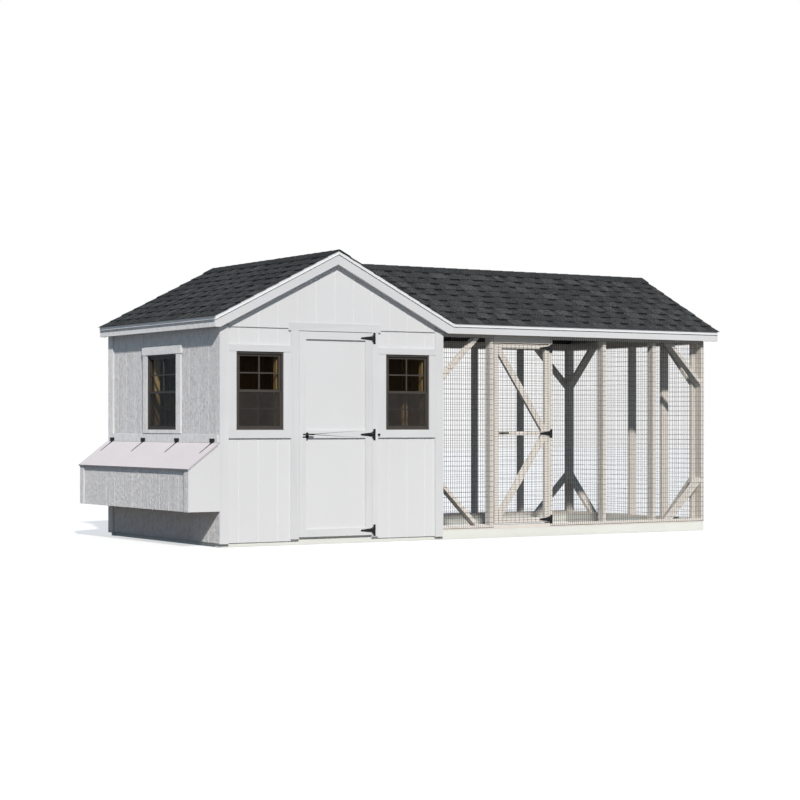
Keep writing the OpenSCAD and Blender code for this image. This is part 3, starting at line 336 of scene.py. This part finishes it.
# The way the grain runs in nodes whose boards don't stand upright
GRAIN_AXIS = {
    "floor_joists": "y", "wall_plates": "x", "house_rafters": "x", "run_rafters": "y",
    "ridge_boards": "x", "roof_blocking": "y", "roosts": "y", "skids": "x",
    "run_plates": "x", "fascia_boards": "x", "nest_band_board": "y", "nest_lid": "y",
    "floor_deck": "x", "roof_deck": "y", "nest_cell_boards": "y", "rake_boards": "x",
    "rake_soffits": "x",
}
MAKERS = {
    "treated_lumber": lambda name, axis: board_paint(name, (0.93, 0.94, 0.885), axis, 0.001, 0.8, 0.12),
    "framing_lumber": lambda name, axis: bare_wood(name, axis, LIGHT_PINE, DARK_PINE),
    "plywood": lambda name, axis: bare_wood(name, axis, (0.60, 0.42, 0.22), (0.44, 0.29, 0.14)),
    "white_siding": lambda name, axis: siding_paint(name, WHITE),
    "white_trim": lambda name, axis: board_paint(name, TRIM, axis),
    "lid_panel": lambda name, axis: board_paint(name, (0.722, 0.675, 0.688), axis, 0.0004),
    "cream_lumber": lambda name, axis: board_paint(name, CREAM, axis, 0.001, 0.7, 0.3),
    "asphalt_shingles": lambda name, axis: shingle(name),
    "white_metal": lambda name, axis: coated_metal(name, (0.87, 0.87, 0.87), 0.38, (0.6, 0.6, 0.6)),
    "black_wire": lambda name, axis: coated_metal(name, (0.012, 0.012, 0.012), 0.42),
    "bronze_frame": lambda name, axis: coated_metal(name, (0.07, 0.058, 0.048), 0.42, (0.14, 0.12, 0.11)),
    "window_glass": lambda name, axis: window_glass(name),
    "insect_screen": lambda name, axis: insect_screen(name),
    # Dark grey wood: painted shade under the run's roof
    "painted_shade_lumber": lambda name, axis: bare_wood(name, axis, (0.2, 0.19, 0.175), (0.12, 0.112, 0.1)),
    "black_hardware": lambda name, axis: coated_metal(name, (0.011, 0.011, 0.012), 0.48,
                                                      (0.14, 0.14, 0.14), 0.0003),
}
# Roof framing and deck given dark grey wood: painted shade for the shade under the run's roof
SHADE_PAINTED_FRAMING = ("run_rafters", "roof_deck", "roof_blocking")
made = {}


def material(slot, axis="z"):
    """The material of a slot, with its grain along an axis; made once."""
    key = f"{slot}_{axis}"
    if key not in made:
        made[key] = MAKERS[slot](key, axis)
    return made[key]


def dress(obj, slot, axis="z"):
    obj.data.materials.clear()
    obj.data.materials.append(material(slot, axis))


# Nodes whose solid boards get eased edges, and the width of the easing
EASED = {
    0.0016: ["door_casing", "window_casings", "nest_band_board", "rake_boards", "fascia_boards",
             "people_door_trim", "nest_lid", "nest_sides", "run_posts", "run_plates",
             "run_braces", "run_door_frame", "pop_door", "pop_door_tracks"],
    0.003: ["skids", "roosts"],
    0.0007: ["window_frames", "sash_front_left", "sash_front_right", "sash_side",
             "people_door_straps", "run_door_straps"],
}
WIRES = ("run_mesh_front", "run_mesh_sides", "run_door_mesh")


def dress_cad_nodes():
    """Gives every CAD node its material, welds its corners and eases the edges of boards."""
    for part in frame["record"]["subparts"]:
        name = part["node"]
        obj = frame["nodes"][name]
        # Roof framing under the run's roof gets dark grey wood as painted shade
        look = "painted_shade_lumber" if name in SHADE_PAINTED_FRAMING else part["material_slot"]
        dress(obj, look, GRAIN_AXIS.get(name, "z"))
        if name not in WIRES:
            weld = obj.modifiers.new("weld", "WELD")
            weld.merge_threshold = 0.00002
    for width, names in EASED.items():
        for name in names:
            bevel = frame["nodes"][name].modifiers.new("eased", "BEVEL")
            bevel.width = width
            bevel.segments = 2
            bevel.limit_method = "ANGLE"
            bevel.angle_limit = math.radians(30)


# ---------------------------------------------------------------- shingles

class Slope:
    """One plane of the roof's deck: along runs level by the eave, up climbs to the ridge."""

    def __init__(self, corner, along, inward, length, reach):
        self.corner = Vector(corner)
        self.along = Vector(along)
        self.up = Vector(inward) * math.cos(SLOPE) + Vector((0, 0, math.sin(SLOPE)))
        self.normal = Vector((0, 0, math.cos(SLOPE))) - Vector(inward) * math.sin(SLOPE)
        self.length = length
        self.height = reach / math.cos(SLOPE)

    def point(self, along, up, out):
        return self.corner + self.along * along + self.up * up + self.normal * out


def new_mesh():
    bm = bmesh.new()
    return bm, bm.faces.layers.float.new("tone")


def hexahedron(bm, tone_layer, low, high, tone):
    """A closed block from four bottom and four top corners."""
    a = [bm.verts.new(p) for p in low]
    b = [bm.verts.new(p) for p in high]
    faces = [a[::-1], b]
    faces += [[a[i], a[(i + 1) % 4], b[(i + 1) % 4], b[i]] for i in range(4)]
    for corners in faces:
        bm.faces.new(corners)[tone_layer] = tone


def lay_tab(bm, tone_layer, slope, along, up, base, splay, tone, ply=PLY):
    """A thin sheet of shingle, lowest at its head, so that the next course lies flat over it."""
    (a, b), (s, e) = along, up
    drop = FALL * (e - s)
    low = [slope.point(a, s, base), slope.point(b, s, base),
           slope.point(b - splay, e, base - drop), slope.point(a + splay, e, base - drop)]
    high = [p + slope.normal * ply for p in low]
    hexahedron(bm, tone_layer, low, high, tone)


def lay_courses(bm, tone_layer, slope, draw):
    """Courses of laminated shingles: full strips, teeth on top, and dark bands in the gaps."""
    rows = round(slope.height / EXPOSURE)
    step = slope.height / rows
    under = 2 * PLY + 0.0004
    for row in range(rows):
        up = (row * step, min((row + 1) * step + LAP, slope.height - 0.001))
        edge = -draw.uniform(0, STRIP)
        while edge < slope.length:
            a, b = max(edge, 0), min(edge + STRIP - 0.0015, slope.length)
            if b - a > 0.02:
                lay_tab(bm, tone_layer, slope, (a, b), up, under, 0, draw.uniform(0.4, 0.62))
            edge += STRIP
        edge = -draw.uniform(0, 0.2)
        while edge < slope.length:
            width = draw.uniform(0.09, 0.19)
            gap = draw.uniform(0.06, 0.13)
            a, b = max(edge, 0), min(edge + width, slope.length)
            if b - a > 0.02:
                inset = draw.uniform(-0.006, 0.012)
                tooth = (up[0] - draw.uniform(0, 0.002), up[1])
                lay_tab(bm, tone_layer, slope, (a, b), tooth, under + PLY, inset, draw.uniform(0.5, 1.0))
            a, b = max(b - 0.004, 0), min(b + gap + 0.004, slope.length)
            if b - a > 0.02:
                band = (step * (row + 1) - BAND * draw.uniform(0.75, 1.1), up[1])
                base = under + PLY - FALL * (band[0] - up[0]) + 0.0001
                lay_tab(bm, tone_layer, slope, (a, b), band, base, 0, draw.uniform(0.0, 0.08), 0.0005)
            edge += width + gap


def cut(bm, point, outward):
    """Cuts away what lies on the outward side of a plane, and closes the cut."""
    geometry = bm.verts[:] + bm.edges[:] + bm.faces[:]
    found = bmesh.ops.bisect_plane(bm, geom=geometry, dist=1e-6, plane_co=point,
                                   plane_no=outward, clear_outer=True)
    edges = [e for e in found["geom_cut"] if isinstance(e, bmesh.types.BMEdge) and e.is_boundary]
    bmesh.ops.holes_fill(bm, edges=edges, sides=0)


def into(target, source):
    """Adds one mesh's faces to another."""
    mesh = bpy.data.meshes.new("part")
    source.to_mesh(mesh)
    source.free()
    target.from_mesh(mesh)
    bpy.data.meshes.remove(mesh)


def finish_piece(bm, name, slot, body):
    """Turns a mesh into a piece that rides on a body."""
    bmesh.ops.recalc_face_normals(bm, faces=bm.faces[:])
    mesh = bpy.data.meshes.new(name)
    bm.to_mesh(mesh)
    bm.free()
    obj = bpy.data.objects.new(name, mesh)
    bpy.context.scene.collection.objects.link(obj)
    dress(obj, slot)
    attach(obj, body)
    return obj


def roof_lines():
    """The roof's main lines: the eaves' lines, the ridges and the run's end."""
    house_low, house_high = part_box("house_shingles")
    run_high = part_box("run_shingles")[1]
    eave = house_low.z
    mid_x = (house_low.x + house_high.x) / 2
    mid_y = (house_low.y + house_high.y) / 2
    reach = mid_x - house_low.x
    return {"x0": house_low.x, "x1": house_high.x, "y0": house_low.y, "y1": house_high.y,
            "mid": Vector((mid_x, mid_y, eave + PITCH * reach)), "eave": eave,
            "reach": reach, "end": run_high.x, "top": house_high.z - PITCH * reach}


def house_shingles(roof):
    draw = random.Random(11)
    bm, tone = new_mesh()
    depth = roof["y1"] - roof["y0"]
    left = Slope((roof["x0"], roof["y1"], roof["eave"]), (0, -1, 0), (1, 0, 0), depth, roof["reach"])
    lay_courses(bm, tone, left, draw)
    for side in (-1, 1):
        start = roof["y0"] if side < 0 else roof["mid"].y
        part, part_tone = new_mesh()
        right = Slope((roof["x1"], start, roof["eave"]), (0, 1, 0), (-1, 0, 0), depth / 2, roof["reach"])
        lay_courses(part, part_tone, right, draw)
        cut(part, roof["mid"] - Vector((MITRE, 0, 0)), Vector((1, -side, 0)).normalized())
        into(bm, part)
    piece = finish_piece(bm, "house_shingle_courses", "asphalt_shingles", "coop")
    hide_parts("house_shingles")


def run_shingles(roof):
    draw = random.Random(23)
    bm, _ = new_mesh()
    length = roof["end"] - roof["mid"].x
    for side in (-1, 1):
        y = roof["y0"] if side < 0 else roof["y1"]
        part, part_tone = new_mesh()
        slope = Slope((roof["mid"].x, y, roof["eave"]), (1, 0, 0), (0, -side, 0), length, roof["reach"])
        lay_courses(part, part_tone, slope, draw)
        cut(part, roof["mid"], Vector((-1, side, 0)).normalized())
        into(bm, part)
    piece = finish_piece(bm, "run_shingle_courses", "asphalt_shingles", "coop")
    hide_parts("run_shingles")


# Where a ridge cap's cross-section has points, out from the ridge line
CAP_HALF = (0.0, 0.008, 0.024, 0.06, 0.125)


def ridge_cap(bm, tone_layer, top, forward, side, length, tone):
    """One shingle bent over the ridge; its butt end is at top, and its head lies under the next."""
    lateral = [-u for u in CAP_HALF[:0:-1]] + list(CAP_HALF)
    rings = []
    for reach, low, high in ((0.0, 0.0098, 0.0130), (length + LAP, 0.0080, 0.0095)):
        for height in (low, high):
            ring = []
            for u in lateral:
                fall = PITCH * (math.sqrt(u * u + 0.006 ** 2) - 0.006)
                ring.append(bm.verts.new(top + forward * reach + side * u + Vector((0, 0, height - fall))))
            rings.append(ring)
    butt_low, butt_high, head_low, head_high = rings
    count = len(lateral)
    faces = []
    for i in range(count - 1):
        faces.append((butt_high[i], butt_high[i + 1], head_high[i + 1], head_high[i]))
        faces.append((butt_low[i], head_low[i], head_low[i + 1], butt_low[i + 1]))
        faces.append((butt_low[i], butt_low[i + 1], butt_high[i + 1], butt_high[i]))
        faces.append((head_low[i], head_high[i], head_high[i + 1], head_low[i + 1]))
    for i in (0, count - 1):
        faces.append((butt_low[i], butt_high[i], head_high[i], head_low[i]))
    for corners in faces:
        bm.faces.new(corners)[tone_layer] = tone


def lay_caps(bm, tone_layer, start, forward, side, length, draw):
    """A row of caps along a ridge, each over the head of the one before."""
    count = round(length / EXPOSURE)
    step = length / count
    for i in range(count):
        butt = start + forward * (i * step)
        shown = min(step, length - i * step - LAP)
        ridge_cap(bm, tone_layer, butt, forward, side, shown, draw.uniform(0.38, 0.55))


def ridge_caps(roof):
    draw = random.Random(37)
    mid = roof["mid"]
    bm, _ = new_mesh()
    for side in (-1, 1):
        part, part_tone = new_mesh()
        y = roof["y0"] if side < 0 else roof["y1"]
        start = Vector((mid.x, y, mid.z))
        lay_caps(part, part_tone, start, Vector((0, -side, 0)), Vector((1, 0, 0)), abs(mid.y - y), draw)
        cut(part, mid - Vector((MITRE, 0, 0)), Vector((1, -side, 0)).normalized())
        into(bm, part)
    part, part_tone = new_mesh()
    start = Vector((roof["end"], mid.y, mid.z))
    lay_caps(part, part_tone, start, Vector((-1, 0, 0)), Vector((0, 1, 0)), roof["end"] - mid.x, draw)
    for side in (-1, 1):
        cut(part, mid, Vector((-1, side, 0)).normalized())
    into(bm, part)
    piece = finish_piece(bm, "ridge_cap_shingles", "asphalt_shingles", "coop")
    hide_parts("ridge_caps")


# ---------------------------------------------------------------- edge metal and jambs

# Outline of the roof's edge metal: how far out from the trim board, how far below the shingles' top
EDGE_METAL = ((-0.026, 0.0085), (0.0026, 0.0085), (0.0026, 0.036), (0.0105, 0.0435))
# Its thickness
METAL = 0.0009


def edge_strip(bm, start, run, out):
    """Edge metal along one roof edge: a flange, a face and a drip that is kicked out at the bottom."""
    ring = []
    for grow, points in ((0.0, EDGE_METAL), (METAL, EDGE_METAL[::-1])):
        for reach, below in points:
            ring.append(start + out * (reach + grow) - Vector((0, 0, below - grow)))
    near = [bm.verts.new(p) for p in ring]
    far = [bm.verts.new(p + run) for p in ring]
    count = len(ring)
    for i in range(count):
        j = (i + 1) % count
        bm.faces.new((near[i], near[j], far[j], far[i]))
    for i in range(len(EDGE_METAL) - 1):
        a, b, c, d = i, i + 1, count - 2 - i, count - 1 - i
        bm.faces.new((near[d], near[c], near[b], near[a]))
        bm.faces.new((far[a], far[b], far[c], far[d]))


def edge_metal(roof):
    """The strips along the rakes and the eaves."""
    bm, _ = new_mesh()
    low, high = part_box("rake_boards")
    mid = roof["mid"]
    top = roof["top"]

    def surface_z(reach):
        return top + PITCH * reach

    for y, out_y in ((low.y, -1), (high.y, 1)):
        out = Vector((0, out_y, 0))
        for x, side in ((low.x, 1), (2 * mid.x - low.x, -1)):
            reach = abs(mid.x - x)
            start = Vector((x, y, surface_z(abs(x - (roof["x0"] if side > 0 else roof["x1"])))))
            edge_strip(bm, start, Vector((side * reach, 0, PITCH * reach)), out)
        corner = 2 * mid.x - low.x + 0.001
        start = Vector((corner, y, surface_z(abs(roof["x0"] - low.x))))
        edge_strip(bm, start, Vector((high.x - corner, 0, 0)), out)
    start = Vector((low.x, low.y, surface_z(abs(roof["x0"] - low.x))))
    edge_strip(bm, start, Vector((0, high.y - low.y, 0)), Vector((-1, 0, 0)))
    for y, side in ((low.y, 1), (high.y, -1)):
        reach = abs(mid.y - y)
        start = Vector((high.x, y, surface_z(abs(roof["y0"] - low.y))))
        edge_strip(bm, start, Vector((0, side * reach, PITCH * reach)), Vector((1, 0, 0)))
    piece = finish_piece(bm, "roof_edge_metal", "white_metal", "coop")
    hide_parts("drip_edge")


def jamb_liners():
    """Pine boards that line each window's opening from its frame to the room."""
    bm, tone = new_mesh()
    board = 0.018
    frames_low, frames_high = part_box("window_frames")
    studs_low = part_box("wall_studs")[0]
    # height of a frame's head, depth to its back, how far the liners stand in from a sash's
    # edges, and the slack under a sash
    head, frame_depth, inset, sash_gap = 0.019, 0.0545, 0.024, 0.0015
    top = frames_high.z - head
    for sash in ("sash_front_left", "sash_front_right", "sash_side"):
        low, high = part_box(sash)
        side = sash == "sash_side"
        wide = (low.y, high.y) if side else (low.x, high.x)
        deep_low = (frames_low.x if side else frames_low.y) + frame_depth
        deep_high = (studs_low.x if side else studs_low.y) + LUMBER
        a, b = wide[0] + inset, wide[1] - inset
        bottom = low.z - sash_gap
        slack = 0.0004
        for u0, u1, z0, z1 in ((a - board, a, bottom + slack, top - slack),
                               (b, b + board, bottom + slack, top - slack),
                               (a - board, b + board, top, top + board),
                               (a - board, b + board, bottom - board, bottom)):
            corners = [(u0, deep_low), (u1, deep_low), (u1, deep_high), (u0, deep_high)]
            if side:
                corners = [(d, u) for u, d in corners]
            hexahedron(bm, tone, [Vector((x, y, z0)) for x, y in corners],
                       [Vector((x, y, z1)) for x, y in corners], 0.5)
    piece = finish_piece(bm, "window_jamb_liners", "framing_lumber", "coop")
    ease = piece.modifiers.new("eased", "BEVEL")
    ease.width = 0.001
    ease.segments = 2


# ---------------------------------------------------------------- hardware details

def groups(node, axis, space):
    """Middles of a node's separate groups of points along an axis, at least space apart."""
    values = sorted(v.co[axis] for v in frame["nodes"][node].data.vertices)
    found, start = [], 0
    for i in range(1, len(values) + 1):
        if i == len(values) or values[i] - values[i - 1] > space:
            found.append((values[start] + values[i - 1]) / 2)
            start = i
    return found


def screw(bm, centre, outward, radius):
    """A domed screw head with a round recess in its top."""
    outward = outward.normalized()
    across = outward.orthogonal().normalized()
    up = outward.cross(across)
    profile = ((1.0, -0.1), (1.0, 0.12), (0.85, 0.38), (0.55, 0.55), (0.3, 0.58))
    sides = 12
    rings = []
    for share, height in profile:
        ring = []
        for i in range(sides):
            turn = math.tau * i / sides
            spoke = across * math.cos(turn) + up * math.sin(turn)
            ring.append(bm.verts.new(centre + spoke * share * radius + outward * height * radius))
        rings.append(ring)
    for a, b in zip(rings, rings[1:]):
        for i in range(sides):
            j = (i + 1) % sides
            bm.faces.new((a[i], a[j], b[j], b[i]))
    bm.faces.new(rings[0][::-1])
    bottom = [bm.verts.new(v.co - outward * 0.35 * radius) for v in rings[-1]]
    for i in range(sides):
        j = (i + 1) % sides
        bm.faces.new((rings[-1][i], rings[-1][j], bottom[j], bottom[i]))
    bm.faces.new(bottom)


def door_screws(door, straps, joint, reach):
    """Screws of a door's T hinges: some on the straps, which swing, and some on the fixed plates."""
    axis = Vector(joint["pos_m"])
    face = axis.y + 0.004
    radius = 0.0042
    moving, _ = new_mesh()
    still, _ = new_mesh()
    out = Vector((0, -1, 0))
    for z in groups(straps, 2, 0.2):
        for x, dz in ((-0.024, 0.012), (-0.024, -0.012), (-0.052, 0), (-0.080, 0), (-reach, 0)):
            screw(moving, Vector((axis.x + x, face, z + dz)), out, radius)
        for dz in (-0.034, -0.018, 0.018, 0.034):
            screw(still, Vector((axis.x + 0.021, face, z + dz)), out, radius)
    finish_piece(moving, f"{door}_strap_screws", "black_hardware", door)
    finish_piece(still, f"{door}_plate_screws", "black_hardware", "coop")


def nest_screws(joint):
    """Screws of the nest lid's small hinges."""
    axis = Vector(joint["pos_m"])
    low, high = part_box("nest_lid")
    board = 0.016
    angle = math.atan2(high.z - low.z - board * 0.8, high.x - low.x)
    down = Vector((-math.cos(angle), 0, -math.sin(angle)))
    out = Vector((-math.sin(angle), 0, math.cos(angle)))
    plate_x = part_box("nest_hinge_plates")[1].x - 0.003
    radius = 0.0034
    moving, _ = new_mesh()
    still, _ = new_mesh()
    for y in groups("nest_lid_straps", 1, 0.2):
        for reach in (0.026, 0.068, 0.128):
            spot = axis + down * reach - out * 0.003
            screw(moving, Vector((spot.x, y, spot.z)), out, radius)
        for dy in (-0.04, -0.024, 0.024, 0.04):
            screw(still, Vector((plate_x, y + dy, axis.z + 0.024)), Vector((-1, 0, 0)), radius)
    finish_piece(moving, "nest_strap_screws", "black_hardware", "nest_lid")
    finish_piece(still, "nest_plate_screws", "black_hardware", "coop")


def lock_plate(name, body, handle, wall_y):
    """An oval plate behind a T handle, with a rounded edge and a keyhole below the shaft."""
    low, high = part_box(handle)
    middle = Vector(((low.x + high.x) / 2, wall_y, joints[f"{body}_latch_turn"]["pos_m"][2]))
    bm, _ = new_mesh()
    sides = 40
    half_w, half_h, drop = 0.017, 0.031, 0.012
    rings = []
    for grow, out in ((1.0, 0.0), (1.0, 0.0018), (0.93, 0.0032), (0.24, 0.0036), (0.2, 0.0022)):
        ring = []
        for i in range(sides):
            turn = math.tau * i / sides
            x = math.copysign(abs(math.cos(turn)) ** 0.75, math.cos(turn)) * half_w * grow
            z = math.copysign(abs(math.sin(turn)) ** 0.75, math.sin(turn)) * half_h * grow
            sink = drop if grow > 0.5 else drop + 0.008
            ring.append(bm.verts.new(middle + Vector((x, -out, z - sink))))
        rings.append(ring)
    for a, b in zip(rings, rings[1:]):
        for i in range(sides):
            j = (i + 1) % sides
            bm.faces.new((a[i], a[j], b[j], b[i]))
    bm.faces.new(rings[0][::-1])
    bm.faces.new(rings[-1])
    finish_piece(bm, name, "black_hardware", body)


# ---------------------------------------------------------------- stage, light and camera

def stage():
    """A plain pale floor that the camera sees bright and that lights the object dimly."""
    mesh = bpy.data.meshes.new("floor")
    bm = bmesh.new()
    bmesh.ops.create_grid(bm, x_segments=1, y_segments=1, size=60)
    bm.to_mesh(mesh)
    bm.free()
    floor = bpy.data.objects.new("floor", mesh)
    bpy.context.scene.collection.objects.link(floor)
    n = Nodes("pale_floor")
    seen = n.add("ShaderNodeLightPath").outputs["Is Camera Ray"]
    shade = n.add("ShaderNodeBsdfDiffuse", None, {"Color": colour((0.5, 0.5, 0.5))}).outputs[0]
    glow = n.add("ShaderNodeEmission", None, {"Color": colour((1, 1, 1)), "Strength": 0.63}).outputs[0]
    bright = n.add("ShaderNodeAddShader", None, {0: shade, 1: glow}).outputs[0]
    dim = n.add("ShaderNodeBsdfDiffuse", None, {"Color": colour((0.26, 0.25, 0.24))}).outputs[0]
    n.finish(n.add("ShaderNodeMixShader", None, {0: seen, 1: dim, 2: bright}).outputs[0])
    mesh.materials.append(n.material)


def sky():
    """White to the camera, and a soft cool light on the object."""
    world = bpy.data.worlds.new("sky")
    bpy.context.scene.world = world
    world.use_nodes = True
    tree = world.node_tree
    tree.nodes.clear()
    seen = tree.nodes.new("ShaderNodeLightPath").outputs["Is Camera Ray"]
    backdrop = tree.nodes.new("ShaderNodeBackground")
    backdrop.inputs["Color"].default_value = (1, 1, 1, 1)
    light = tree.nodes.new("ShaderNodeBackground")
    light.inputs["Color"].default_value = (0.70, 0.94, 1.22, 1)
    light.inputs["Strength"].default_value = 0.27
    mix = tree.nodes.new("ShaderNodeMixShader")
    tree.links.new(seen, mix.inputs[0])
    tree.links.new(light.outputs[0], mix.inputs[1])
    tree.links.new(backdrop.outputs[0], mix.inputs[2])
    output = tree.nodes.new("ShaderNodeOutputWorld")
    tree.links.new(mix.outputs[0], output.inputs[0])


def lamps():
    """A soft sun from the front left, and a warm lamp inside the house."""
    sun = bpy.data.lights.new("sun", "SUN")
    sun.energy = 3.05
    sun.color = (1.0, 0.965, 0.93)
    sun.angle = math.radians(2.0)
    obj = bpy.data.objects.new("sun", sun)
    travel = Vector((0.45, 1.28, -1.0))
    obj.rotation_euler = travel.to_track_quat("-Z", "Y").to_euler()
    bpy.context.scene.collection.objects.link(obj)
    low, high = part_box("wall_studs")
    lamp = bpy.data.lights.new("inside", "AREA")
    lamp.energy = 0.4
    lamp.size = 1.2
    lamp.color = (1.0, 0.82, 0.58)
    obj = bpy.data.objects.new("inside", lamp)
    obj.location = ((low.x + high.x) / 2, (low.y + high.y) / 2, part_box("wall_plates")[1].z - 0.1)
    bpy.context.scene.collection.objects.link(obj)


def camera():
    """The viewpoint: eye height, a long way off the front left corner."""
    data = bpy.data.cameras.new("camera")
    data.lens = 89.56
    data.sensor_width = 36
    data.shift_y = 0.032
    data.clip_end = 200
    obj = bpy.data.objects.new("camera", data)
    obj.location = (-11.040, -17.4788, 1.1156)
    turn = math.radians(32.1)
    forward = Vector((math.sin(turn), math.cos(turn), 0))
    obj.rotation_euler = forward.to_track_quat("-Z", "Y").to_euler()
    bpy.context.scene.collection.objects.link(obj)
    bpy.context.scene.camera = obj


bpy.context.scene.view_settings.view_transform = "Standard"
joints = {j["name"]: j for j in frame["joints"]}
dress_cad_nodes()
roof = roof_lines()
house_shingles(roof)
run_shingles(roof)
ridge_caps(roof)
edge_metal(roof)
jamb_liners()
door_screws("people_door", "people_door_straps", joints["people_door_swing"], 0.108)
door_screws("run_door", "run_door_straps", joints["run_door_swing"], 0.100)
nest_screws(joints["nest_lid_swing"])
lock_plate("people_door_lock_plate", "people_door", "people_door_handle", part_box("people_door_trim")[0].y)
stage()
sky()
lamps()
camera()
